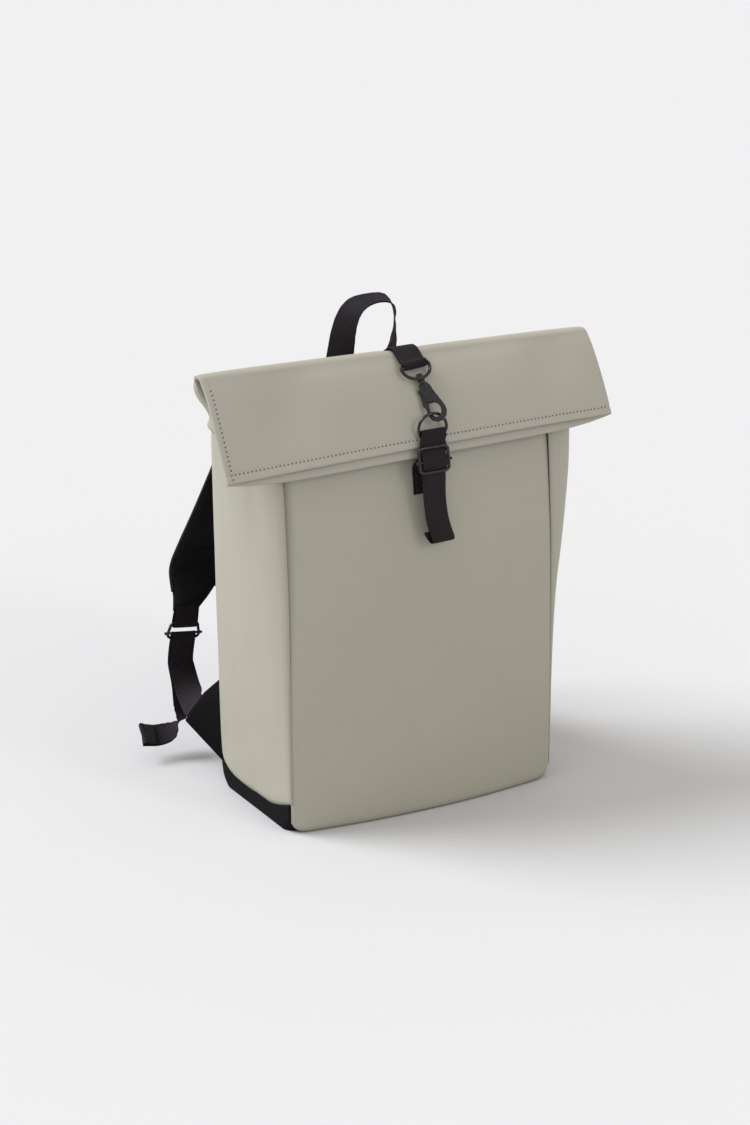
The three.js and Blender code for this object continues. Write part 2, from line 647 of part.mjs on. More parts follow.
// Hook mouth from the tip round the hole and back up to the neck
const HOOK_MOUTH = [
  { across: -0.075, down: 0.77 }, { across: -0.065, down: 0.84 }, { across: -0.02, down: 0.89 },
  { across: 0.03, down: 0.9 }, { across: 0.09, down: 0.88 },
  { across: 0.13, down: 0.82 }, { across: 0.145, down: 0.74 }, { across: 0.12, down: 0.64 },
  { across: 0.06, down: 0.575 }, { across: -0.02, down: 0.565 }, { across: -0.09, down: 0.52 },
  { across: -0.11, down: 0.4 }, { across: -0.115, down: 0.25 },
];
// Gate outline about the rivet: thumb tab, lever down to the tip, and back
const GATE_LEVER = [
  { across: -0.03, down: 0.3 }, { across: -0.1, down: 0.26 }, { across: -0.135, down: 0.2 },
  { across: -0.17, down: 0.225 }, { across: -0.155, down: 0.36 }, { across: -0.175, down: 0.5 },
  { across: -0.185, down: 0.58 }, { across: -0.155, down: 0.63 }, { across: -0.15, down: 0.748 },
  { across: -0.085, down: 0.735 }, { across: -0.075, down: 0.62 }, { across: -0.02, down: 0.52 },
  { across: 0.045, down: 0.44 }, { across: 0.05, down: 0.35 },
];
const RIVET = { across: -0.02, down: 0.4 };

const shapeFrom = (rows, size) =>
  new THREE.Shape(rows.map((row) => new THREE.Vector2(row.across * size, -row.down * size)));

function plate(shape, thickness, bevel = 0) {
  const geometry = new THREE.ExtrudeGeometry(shape, {
    depth: thickness - 2 * bevel, bevelEnabled: bevel > 0, bevelThickness: bevel,
    bevelSize: bevel, bevelOffset: -bevel, bevelSegments: 1, curveSegments: 6,
  });
  return geometry.translate(0, 0, -thickness / 2 + bevel);
}

function peg(diameter, length, x, y, along = "z", sides = 12) {
  const geometry = new THREE.CylinderGeometry(diameter / 2, diameter / 2, length, sides);
  if (along === "z") geometry.rotateX(Math.PI / 2);
  return geometry.translate(x, y, 0);
}

const RIVET_X = RIVET.across * HOOK_LENGTH;
const RIVET_Y = -RIVET.down * HOOK_LENGTH;
const PIN_DIAMETER = 3;
const COLLAR_DIAMETER = 7.4;
const HEAD_DIAMETER = 5.6;
const HEAD_HEIGHT = 2.2;

function snapHook() {
  const body = plate(shapeFrom([...HOOK_SIDE, ...HOOK_MOUTH], HOOK_LENGTH), HOOK_THICKNESS, 0.7);
  const slotWidth = GATE_THICKNESS + 2 * METAL_GAP;
  const slot = plate(shapeFrom([
    { across: -0.3, down: 0.19 }, { across: 0.02, down: 0.26 }, { across: 0.085, down: 0.33 },
    { across: 0.085, down: 0.47 }, { across: 0.09, down: 0.62 }, { across: -0.02, down: 0.7 },
    { across: -0.3, down: 0.7 },
  ], HOOK_LENGTH), slotWidth);
  const neck = -0.115 * HOOK_LENGTH;
  const pinTop = COLLAR_HEIGHT / 2 + METAL_GAP + HEAD_HEIGHT;
  const pin = peg(PIN_DIAMETER, pinTop - neck + 1, 0, (pinTop + neck - 1) / 2, "y");
  const head = peg(
    HEAD_DIAMETER, HEAD_HEIGHT, 0, COLLAR_HEIGHT / 2 + METAL_GAP + HEAD_HEIGHT / 2, "y",
  );
  const shoulder = peg(HEAD_DIAMETER, -COLLAR_HEIGHT / 2 - METAL_GAP - neck + 0.6, 0,
    (-COLLAR_HEIGHT / 2 - METAL_GAP + neck - 0.6) / 2, "y");
  const rivet = peg(RIVET_DIAMETER, HOOK_THICKNESS + 0.8, RIVET_X, RIVET_Y);
  return joined(cut(body, slot), pin, head, shoulder, rivet);
}

function hookGate() {
  const lever = plate(shapeFrom(GATE_LEVER, HOOK_LENGTH), GATE_THICKNESS);
  const bore = peg(RIVET_DIAMETER + 2 * METAL_GAP, GATE_THICKNESS * 2, RIVET_X, RIVET_Y);
  return cut(lever, bore);
}

const LOOP_INSIDE = WEBBING_WIDTH + 1;

function hookLoop() {
  const half = LOOP_INSIDE / 2 + LOOP_WIRE / 2;
  const low = COLLAR_HEIGHT / 2 - LOOP_WIRE / 2 + 0.3;
  const top = low + LOOP_HEIGHT;
  const shape = new THREE.Shape();
  shape.moveTo(0, top);
  shape.lineTo(half - 3, top);
  shape.quadraticCurveTo(half, top, half, top - 3);
  shape.quadraticCurveTo(half, low + 3, 4, low);
  shape.lineTo(-4, low);
  shape.quadraticCurveTo(-half, low + 3, -half, top - 3);
  shape.quadraticCurveTo(-half, top, -half + 3, top);
  shape.lineTo(0, top);
  const wire = wireRing(shape, LOOP_WIRE, 30);
  const collar = peg(COLLAR_DIAMETER, COLLAR_HEIGHT, 0, 0, "y");
  const bore = peg(PIN_DIAMETER + 2 * METAL_GAP, COLLAR_HEIGHT * 3, 0, 0, "y");
  const clear = peg(
    HEAD_DIAMETER + 2 * METAL_GAP, 6, 0, COLLAR_HEIGHT / 2 + 3, "y",
  );
  return cut(joined(wire, collar), bore, clear);
}

// Ring with a straight bar below and a round bow above, the bar's middle at the origin
function dRing() {
  const r = RING_INSIDE / 2 + RING_WIRE / 2;
  const shape = new THREE.Shape();
  shape.moveTo(0, 0);
  shape.lineTo(r - 2.5, 0);
  shape.quadraticCurveTo(r, 0, r, 2.5);
  shape.absellipse(0, 4, r, r * 0.93, 0, Math.PI, false, 0);
  shape.lineTo(-r, 2.5);
  shape.quadraticCurveTo(-r, 0, -r + 2.5, 0);
  shape.lineTo(0, 0);
  return wireRing(shape, RING_WIRE, 34);
}

function slider(width, height, wire, topWidth = width, barShare = 0) {
  const frame = wireRing(roundedOutline(width, height, 4, topWidth), wire, 36);
  const bar = new THREE.CylinderGeometry(wire * 0.42, wire * 0.42, width - 1, 8)
    .rotateZ(Math.PI / 2).translate(0, barShare * height, 0);
  return joined(frame, bar);
}

// Points round a bar: centre, out and up axes, start and end angles
function roundBar(centre, out, up, radius, from, to, steps) {
  return Array.from({ length: steps + 1 }, (_, k) => {
    const angle = rad(from + ((to - from) * k) / steps);
    return centre.clone().addScaledVector(out, radius * Math.cos(angle))
      .addScaledVector(up, radius * Math.sin(angle));
  });
}

function closureStrapTop() {
  const x0 = CLOSURE.fold.across;
  const rows = [];
  const backLength = CLOSURE_BACK_LENGTH;
  const slope = ROLL_ROWS[NECK_ROW].back;
  const seam = ROLL_ROWS[0].back;
  const whole = Math.hypot(slope.y - seam.y, slope.z - seam.z);
  const from = NECK_ROW * Math.max(1 - backLength / whole, 0.02);
  const steps = [from, (from + NECK_ROW) / 2];
  for (let i = NECK_ROW; i < FLAP_ROW; i += 1) steps.push(i);
  steps.forEach((place) => rows.push(overRoll(place, x0, LAY + 0.3)));
  const axis = (x, y, z) => v3(x, y, z).transformDirection(loopFrame);
  const wrap = LOOP_WIRE / 2 + SEAM_GAP + WEBBING_THICKNESS / 2;
  const round = roundBar(barCentre, axis(0, 0, 1), axis(0, 1, 0), wrap, 85, -100, 7);
  const straight = rows.length;
  round.forEach((p) => rows.push(p));
  const points = rows.map((p, i) => {
    const t = Math.min(Math.max((i - 3) / (straight - 4), 0), 1);
    return i < straight ? v3(x0 + (barCentre.x - x0) * t, p.y, p.z) : p;
  });
  const sides = points.map((_, i) => (i < straight - 1 ? v3(1, 0, 0) : axis(1, 0, 0)));
  return sweep(bandStations(points, sides, WEBBING_WIDTH, WEBBING_THICKNESS), FLAT_SECTION);
}

const RING = CLOSURE.ring;
const ringBar = flapPoint(RING.along, RING.across, RING.out);
const ringFrame = closureFrame(RING.along, RING.across, RING.out, 0, RING.lean, 0);
const wrapRing = RING_WIRE / 2 + SEAM_GAP + WEBBING_THICKNESS / 2;

// Slider frame, hanging below the hem in front of the anchor
const CLOSURE_SLIDER_WIDTH = WEBBING_WIDTH + SLIDER_WIRE + 2.2;
const CLOSURE_BAR_SHARE = -0.06;
const hemRow = ROLL_ROWS[ROLL_ROWS.length - 1];
const hem = layerPoint(hemRow, 1, CLOSURE.slider.across);
const lip = layerPoint(hemRow, 0, CLOSURE.slider.across);
const sliderLean = 10;
const sliderFrame = new THREE.Matrix4()
  .makeTranslation(CLOSURE.slider.across, hem.y - CLOSURE.slider.out, hem.z - CLOSURE.slider.drop)
  .multiply(new THREE.Matrix4().makeRotationX(Math.PI / 2 - rad(sliderLean)));

function closureStrapLower() {
  const x = CLOSURE.slider.across;
  const up = DOWN_FLAP.clone().negate();
  const anchorTop = lip.z - LIP_LENGTH * 1.2;
  const weave = SLIDER_WIRE / 2 + SEAM_GAP + WEBBING_THICKNESS / 2;
  const onSlider = (share, out) => v3(0, share * SLIDER_HEIGHT, out).applyMatrix4(sliderFrame);
  const turn = roundBar(ringBar, FLAP_OUT, up, wrapRing, 235, -20, 9);
  const rise = smoothPoints([
    frontPoint(x, anchorTop - ANCHOR_LENGTH, LAY + 0.2),
    frontPoint(x, anchorTop - ANCHOR_LENGTH * 0.5, LAY + 0.2),
    frontPoint(x, anchorTop - 3, LAY + 0.4),
    v3(x, (frontPoint(x, anchorTop, 0).y + hem.y) / 2 - LAY - 2.2, lip.z - 4),
    v3(RING.across, hem.y - LAY - 1.5, hem.z - 1.5),
    flapPoint(FLAP_LENGTH - 6, RING.across, LAY + 0.6),
    turn[0],
  ], 16).slice(0, -1);
  const weavePoints = smoothPoints([
    turn[turn.length - 1],
    onSlider(0.5, -weave),
    onSlider(CLOSURE_BAR_SHARE, SLIDER_WIRE * 0.42 + SEAM_GAP + WEBBING_THICKNESS / 2 + 0.15),
    onSlider(-0.5, -weave - 0.35),
  ], 16).slice(1);
  const low = onSlider(-0.5, -weave - 0.35);
  const tail = smoothPoints([
    low,
    v3(x + 0.2, low.y - 0.3, low.z - TAIL_LENGTH * 0.12),
    v3(x + 1.4, low.y + 0.6, low.z - TAIL_LENGTH * 0.4),
    v3(x + 4.5, low.y + 1, low.z - TAIL_LENGTH * 0.7),
    v3(x + 10, low.y - 0.5, low.z - TAIL_LENGTH),
  ], 10).slice(1);
  const points = [...rise, ...turn, ...weavePoints, ...tail];
  const sides = points.map((p, i) => {
    const t = i > points.length - 11 ? (low.z - p.z) / TAIL_LENGTH : 0;
    return v3(1, 0.25 * t, 0.12 * t);
  });
  return sweep(bandStations(points, sides, WEBBING_WIDTH, WEBBING_THICKNESS), FLAT_SECTION);
}

function haulHandle() {
  const foot = { y: backY(BODY_HEIGHT) * 0.62, z: BODY_HEIGHT + 22 };
  const height = HANDLE_TOP - foot.z;
  const spread = HANDLE_SPREAD / 2;
  const sewn = [0.8, 1.05, 1.3].map((place, i) => {
    const at = overRoll(place, 0, LAY + 0.3 + 0.45 * i * i);
    return { x: spread, y: at.y, z: at.z, twist: 0, tilt: 0 };
  });
  const half = [
    ...sewn,
    ...HANDLE_FORM.map((row) => ({
      x: row.spread * spread, y: foot.y - row.reach * WEBBING_WIDTH,
      z: foot.z + row.rise * height, twist: row.twist, tilt: row.tilt,
    })),
  ];
  const all = [
    ...half.map((r) => ({ ...r, x: -r.x })),
    ...half.slice(0, -1).reverse().map((r) => ({ ...r, twist: 180 - r.twist })),
  ];
  const points = all.map((r) => v3(r.x, r.y, r.z));
  const count = 48;
  const curve = new THREE.CatmullRomCurve3(points, false, "centripetal");
  const stations = [];
  for (let i = 0; i <= count; i += 1) {
    const t = i / count;
    const k = t * (all.length - 1);
    const a = Math.min(Math.floor(k), all.length - 2);
    const mix = (name) => THREE.MathUtils.lerp(all[a][name], all[a + 1][name], k - a);
    const twist = rad(mix("twist"));
    stations.push({ at: curve.getPoint(t), side: v3(Math.cos(twist), -Math.sin(twist), mix("tilt")) });
  }
  return sweep(bandStations(
    stations.map((s) => s.at), stations.map((s) => s.side), WEBBING_WIDTH, WEBBING_THICKNESS,
  ), FLAT_SECTION);
}

// Shoulder straps
function backSurface(x, z) {
  const from = baseEdge(1) + SEAM_GAP;
  const u = (z - from) / (BODY_HEIGHT - from);
  const a = x / PANEL_HALF;
  return backY(z) + (1 - a ** 4) * (1 - (2 * u - 1) ** 4) * BACK_PADDING * 0.45;
}
const strapPlace = (row, side) => v3(
  side * row.across * BODY_WIDTH,
  backSurface(STRAP_FORM[0].across * BODY_WIDTH, STRAP_FORM[0].up * BODY_HEIGHT) + SEAM_GAP * 2
    + row.out * BODY_DEPTH,
  row.up * BODY_HEIGHT,
);

function shoulderStrap(side) {
  const rows = STRAP_FORM.map((row) => strapPlace(row, side));
  const curve = new THREE.CatmullRomCurve3(rows, false, "centripetal");
  const count = 22;
  const points = [];
  const widths = [];
  const thicks = [];
  for (let i = 0; i <= count; i += 1) {
    const t = i / count;
    const k = t * (STRAP_FORM.length - 1);
    const a = Math.min(Math.floor(k), STRAP_FORM.length - 2);
    const mix = (name) => THREE.MathUtils.lerp(STRAP_FORM[a][name], STRAP_FORM[a + 1][name], k - a);
    points.push(curve.getPoint(t));
    widths.push(mix("width") * STRAP_WIDTH);
    thicks.push(mix("thick") * STRAP_THICKNESS);
  }
  const level = (i) => v3(1, 0.12 * side * Math.min(i / 4, 1), 0).normalize();
  const stations = points.map((at, i) => {
    const before = points[Math.max(i - 1, 0)];
    const after = points[Math.min(i + 1, count)];
    const up = after.clone().sub(before).cross(level(i)).normalize();
    return { at, side: level(i), up, width: widths[i], thick: thicks[i] };
  });
  return sweep(stations, PAD_SECTION);
}

// Strap slider: a frame narrower at the top, its middle bar low in the window
const strapEnd = STRAP_FORM[STRAP_FORM.length - 1];
const STRAP_SLIDER_DROP = 22;
const STRAP_BAR_SHARE = -0.2;

function strapSliderFrame(side) {
  const end = strapPlace(strapEnd, side);
  const run = strapPlace(ADJUSTER_RUN[0], side).lerp(strapPlace(ADJUSTER_TAIL[0], side), 0.5);
  const down = run.sub(end).normalize();
  const at = end.clone().addScaledVector(down, STRAP_SLIDER_DROP);
  const across = v3(1, 0, 0).addScaledVector(down, -down.x).normalize();
  const out = across.clone().cross(down.clone().negate()).normalize();
  return new THREE.Matrix4().makeBasis(across, down.clone().negate(), out).setPosition(at);
}

const STRAP_SLIDER_TOP = WEBBING_WIDTH + 2 * SLIDER_WIRE - 1;
const STRAP_SLIDER_WIDTH = WEBBING_WIDTH + 2 * SLIDER_WIRE + 3;

// Short webbing from the end of the padded strap, folded round the slider's top bar
function strapLoop(side) {
  const frame = strapSliderFrame(side);
  const end = strapPlace(strapEnd, side).applyMatrix4(frame.clone().invert());
  const bar = STRAP_SLIDER_HEIGHT / 2;
  const wrap = SLIDER_WIRE / 2 + SEAM_GAP + WEBBING_THICKNESS / 2 + 0.1;
  const top = end.y - SEAM_GAP * 9;
  const flat = roundBar(v3(0, bar, 0), v3(0, 0, 1), v3(0, 1, 0), wrap, 10, -190, 8);
  const path = [v3(0, top, 1.3), ...flat, v3(0, top, -1.3)];
  const stations = bandStations(
    path, path.map(() => v3(1, 0, 0)), WEBBING_WIDTH, WEBBING_THICKNESS,
  );
  return { geometry: sweep(stations, FLAT_SECTION), frame };
}

function strapRun(rows, side) {
  const points = rows.map((row) => strapPlace(row, side));
  const curve = new THREE.CatmullRomCurve3(points, false, "centripetal");
  const count = 18;
  const out = [];
  for (let i = 0; i <= count; i += 1) {
    const k = (i / count) * (rows.length - 1);
    const a = Math.min(Math.floor(k), rows.length - 2);
    const mix = (name) => THREE.MathUtils.lerp(rows[a][name], rows[a + 1][name], k - a);
    out.push({
      at: curve.getPoint(i / count), side: v3(mix("wideX"), -side * mix("wideY"), -side * mix("wideZ")),
    });
  }
  return out;
}

// Anchored run, over the slider's middle bar, and free tail
function adjusterWebbing(side) {
  const frame = strapSliderFrame(side);
  const wrap = SLIDER_WIRE * 0.42 + SEAM_GAP + WEBBING_THICKNESS / 2 + 0.1;
  const bar = v3(0, STRAP_BAR_SHARE * STRAP_SLIDER_HEIGHT, 0);
  const clear = SLIDER_WIRE / 2 + SEAM_GAP + WEBBING_THICKNESS / 2 + 0.2;
  const low = -STRAP_SLIDER_HEIGHT / 2;
  const turn = roundBar(bar, v3(0, 0, 1), v3(0, 1, 0), wrap, -10, 190, 6);
  const path = [
    v3(0, low - 3, clear), v3(0, low, clear), ...turn, v3(0, low, -clear), v3(0, low - 3, -clear),
  ].map((p) => ({ at: p.applyMatrix4(frame), side: v3(1, 0, 0).transformDirection(frame) }));
  const run = strapRun(ADJUSTER_RUN, side).reverse();
  const tail = strapRun(ADJUSTER_TAIL, side);
  const all = [...run, ...path, ...tail];
  return sweep(bandStations(
    all.map((s) => s.at), all.map((s) => s.side), WEBBING_WIDTH, WEBBING_THICKNESS,
  ), FLAT_SECTION);
}

// Wing: sewn at the back edge of the gusset, its tip edge under the adjuster webbing
const WING_FORM = [
  { rise: 0.06, tipAcross: 0.571, tipOut: 0.17, tipUp: 0.155 },
  { rise: 0.285, tipAcross: 0.512, tipOut: 0.125, tipUp: 0.226 },
];

function wing(side) {
  const corner = (row) => ({
    root: v3(side * (BODY_WIDTH / 2 - 3), backY(row.rise * BODY_HEIGHT) + WING_THICKNESS / 2 + SEAM_GAP * 4,
      row.rise * BODY_HEIGHT),
    tip: strapPlace({ across: row.tipAcross, out: row.tipOut, up: row.tipUp }, side),
  });
  const [low, high] = WING_FORM.map(corner);
  const steps = 5;
  const normal = low.tip.clone().sub(low.root).cross(high.root.clone().sub(low.root)).normalize();
  const grid = (offset) => Array.from({ length: steps + 1 }, (_, i) => {
    const a = low.root.clone().lerp(low.tip, i / steps);
    const b = high.root.clone().lerp(high.tip, i / steps);
    return Array.from({ length: 5 }, (_unused, j) =>
      a.clone().lerp(b, j / 4).addScaledVector(normal, offset));
  });
  return wall(grid(WING_THICKNESS / 2), grid(-WING_THICKNESS / 2));
}

const COAT = { color: 0x9f9c8d, roughness: 0.62, metalness: 0 };
const BLACK_CLOTH = { color: 0x18181a, roughness: 0.9, metalness: 0 };
const WEBBING = { color: 0x1c1a1b, roughness: 0.85, metalness: 0 };
const GUNMETAL = { color: 0x1a1a1c, roughness: 0.28, metalness: 0.85 };

const backpack = new THREE.Group();
function add(name, geometry, finish, matrix) {
  const mesh = new THREE.Mesh(geometry, new THREE.MeshStandardMaterial(finish));
  mesh.name = name;
  if (matrix) matrix.decompose(mesh.position, mesh.quaternion, mesh.scale);
  backpack.add(mesh);
}

add("front_panel", frontPanel(), COAT);
add("gusset_left", gusset(-1), COAT);
add("gusset_right", gusset(1), COAT);
add("back_panel", backPanel(), BLACK_CLOTH);
add("base_panel", basePanel(), BLACK_CLOTH);
add("roll_top", rollTop(), COAT);
add("haul_handle", haulHandle(), WEBBING);
add("closure_strap_top", closureStrapTop(), WEBBING);
add("hook_loop", hookLoop(), GUNMETAL, loopFrame);
add("snap_hook", snapHook(), GUNMETAL, hookFrame);
add("hook_gate", hookGate(), GUNMETAL, hookFrame);
add("d_ring", dRing(), GUNMETAL, ringFrame);
add("closure_strap_lower", closureStrapLower(), WEBBING);
add("closure_slider", slider(CLOSURE_SLIDER_WIDTH, SLIDER_HEIGHT, SLIDER_WIRE, CLOSURE_SLIDER_WIDTH,
  CLOSURE_BAR_SHARE), GUNMETAL, sliderFrame);
for (const [word, side] of [["left", -1], ["right", 1]]) {
  const loop = strapLoop(side);
  add(`shoulder_strap_${word}`, shoulderStrap(side), BLACK_CLOTH);
  add(`strap_loop_${word}`, loop.geometry, WEBBING, loop.frame);
  add(`strap_slider_${word}`, slider(STRAP_SLIDER_WIDTH, STRAP_SLIDER_HEIGHT, SLIDER_WIRE,
    STRAP_SLIDER_TOP, STRAP_BAR_SHARE), GUNMETAL, loop.frame);
  add(`adjuster_webbing_${word}`, adjusterWebbing(side), WEBBING);
  add(`wing_${word}`, wing(side), BLACK_CLOTH);
}

export default backpack;
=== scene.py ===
"""Rolltop backpack: cloth, padding, webbing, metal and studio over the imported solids, in metres."""
import bisect
import logging
import math
from dataclasses import dataclass
from enum import Enum
from typing import Callable, Sequence

import bmesh
import bpy
from mathutils import Matrix, Vector, noise


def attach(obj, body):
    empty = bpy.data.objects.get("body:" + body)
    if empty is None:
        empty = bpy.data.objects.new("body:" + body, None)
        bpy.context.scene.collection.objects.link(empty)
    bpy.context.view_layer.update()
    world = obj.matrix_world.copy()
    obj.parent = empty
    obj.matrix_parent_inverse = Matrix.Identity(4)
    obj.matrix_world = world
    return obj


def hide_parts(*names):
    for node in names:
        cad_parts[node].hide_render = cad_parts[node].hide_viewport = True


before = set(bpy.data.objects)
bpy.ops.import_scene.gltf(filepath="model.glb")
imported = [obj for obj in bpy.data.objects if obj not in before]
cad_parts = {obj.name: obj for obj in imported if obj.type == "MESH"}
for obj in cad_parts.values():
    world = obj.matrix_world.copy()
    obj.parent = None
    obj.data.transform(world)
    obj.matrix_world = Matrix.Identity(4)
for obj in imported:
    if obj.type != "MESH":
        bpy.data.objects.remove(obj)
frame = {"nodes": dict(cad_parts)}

LOG = logging.getLogger("backpack")
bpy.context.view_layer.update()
MM = 0.001
Stations = list[tuple[Vector, Vector]]
Section = tuple[Vector, Vector, Vector, float, float]
Place = Callable[[float, float], Vector]


class Slot(Enum):
    """Material slots of the record."""

    COAT = "coated_cloth"
    BLACK = "black_cloth"
    WEBBING = "webbing"
    METAL = "dark_metal"


def curve(table: Sequence[Sequence[float]], column: int, place: float) -> float:
    """Smooth value of a table's column at a place along its first column.

    Args:
        table: rows whose first entry rises.
        column: index of the wanted entry.
        place: where along the first entry.

    Returns:
        The value there.
    """
    last = len(table) - 1
    t = min(max(place, table[0][0]), table[last][0])
    i = 0
    while i < last - 1 and table[i + 1][0] < t:
        i += 1

    def slope(k: int) -> float:
        """Slope of the column about a row."""
        a, b = table[max(k - 1, 0)], table[min(k + 1, last)]
        return (b[column] - a[column]) / (b[0] - a[0])

    span = table[i + 1][0] - table[i][0]
    s = (t - table[i][0]) / span
    h = s * s * (3 - 2 * s)
    bend = slope(i) * s * (1 - s) * (1 - s) - slope(i + 1) * s * s * (1 - s)
    return table[i][column] * (1 - h) + table[i + 1][column] * h + span * bend


def bump(x: float, middle: float, width: float) -> float:
    """Soft hump of height one about a middle."""
    return math.exp(-(((x - middle) / width) ** 2))


def ease(x: float) -> float:
    """Smooth step from 0 to 1."""
    t = min(max(x, 0.0), 1.0)
    return t * t * (3 - 2 * t)


@dataclass(frozen=True)
class BodyForm:
    """Sizes of the body in mm and its form by height."""

    width: float = 280.0
    depth: float = 148.0
    height: float = 365.0
    base_rise: float = 30.0
    corner: float = 9.0
    cloth: float = 2.0
    gap: float = 0.3
    # height, front, back, left, right, belly, as shares
    rows: tuple[tuple[float, ...], ...] = (
        (0, 0.498, 0.37, 0, 0, 0.084), (0.033, 0.5, 0.43, 0.005, 0.008, 0.083),
        (0.071, 0.5, 0.452, 0.01, 0.016, 0.081), (0.148, 0.5, 0.473, 0.02, 0.03, 0.077),
        (0.37, 0.5, 0.49, 0.045, 0.085, 0.07), (0.5, 0.5, 0.503, 0.06, 0.14, 0.066),
        (0.63, 0.495, 0.508, 0.075, 0.215, 0.061), (0.82, 0.468, 0.512, 0.1, 0.295, 0.054),
        (0.94, 0.44, 0.51, 0.13, 0.32, 0.05), (1, 0.408, 0.478, 0.16, 0.33, 0.048),
    )
    # depth from front to back, rise of the side cloth's lower edge
    edge_rows: tuple[tuple[float, float], ...] = (
        (0, 1), (0.15, 0.76), (0.3, 0.6), (0.5, 0.56), (0.7, 0.57), (0.88, 0.65), (1, 0.86),
    )

    @property
    def panel_half(self) -> float:
        """Half the width of the front and back panels."""
        return self.width / 2 - self.cloth - self.gap

    def at(self, column: int, z: float) -> float:
        """Value of a column of the form at a height, in mm."""
        return curve(self.rows, column, z / self.height) * self.depth

    def front(self, z: float) -> float:
        """Y of the front seam at a height."""
        return -self.at(1, z)

    def back(self, z: float) -> float:
        """Y of the back seam at a height."""
        return self.at(2, z)

    def edge(self, depth: float) -> float:
        """Height of the side cloth's lower edge."""
        return curve(self.edge_rows, 1, depth) * self.base_rise

    def front_point(self, x: float, z: float, out: float = 0.0) -> Vector:
        """Point on the front panel's outer face."""
        share = min(abs(x) / (self.width / 2), 1)
        return Vector((x, self.front(z) - self.at(5, z) * (1 - share * share) - out, z))

    def side_point(self, side: int, depth: float, z: float, inset: float = 0.0) -> Vector:
        """Point on a gusset's outer face."""
        bulge = self.at(3 if side < 0 else 4, z) * (1 - abs(2 * max(depth, 0) ** 0.8 - 1) ** 2.3)
        y = self.front(z) + (self.back(z) - self.front(z)) * depth
        return Vector((side * (self.width / 2 + bulge - inset), y, z))


BODY = BodyForm()


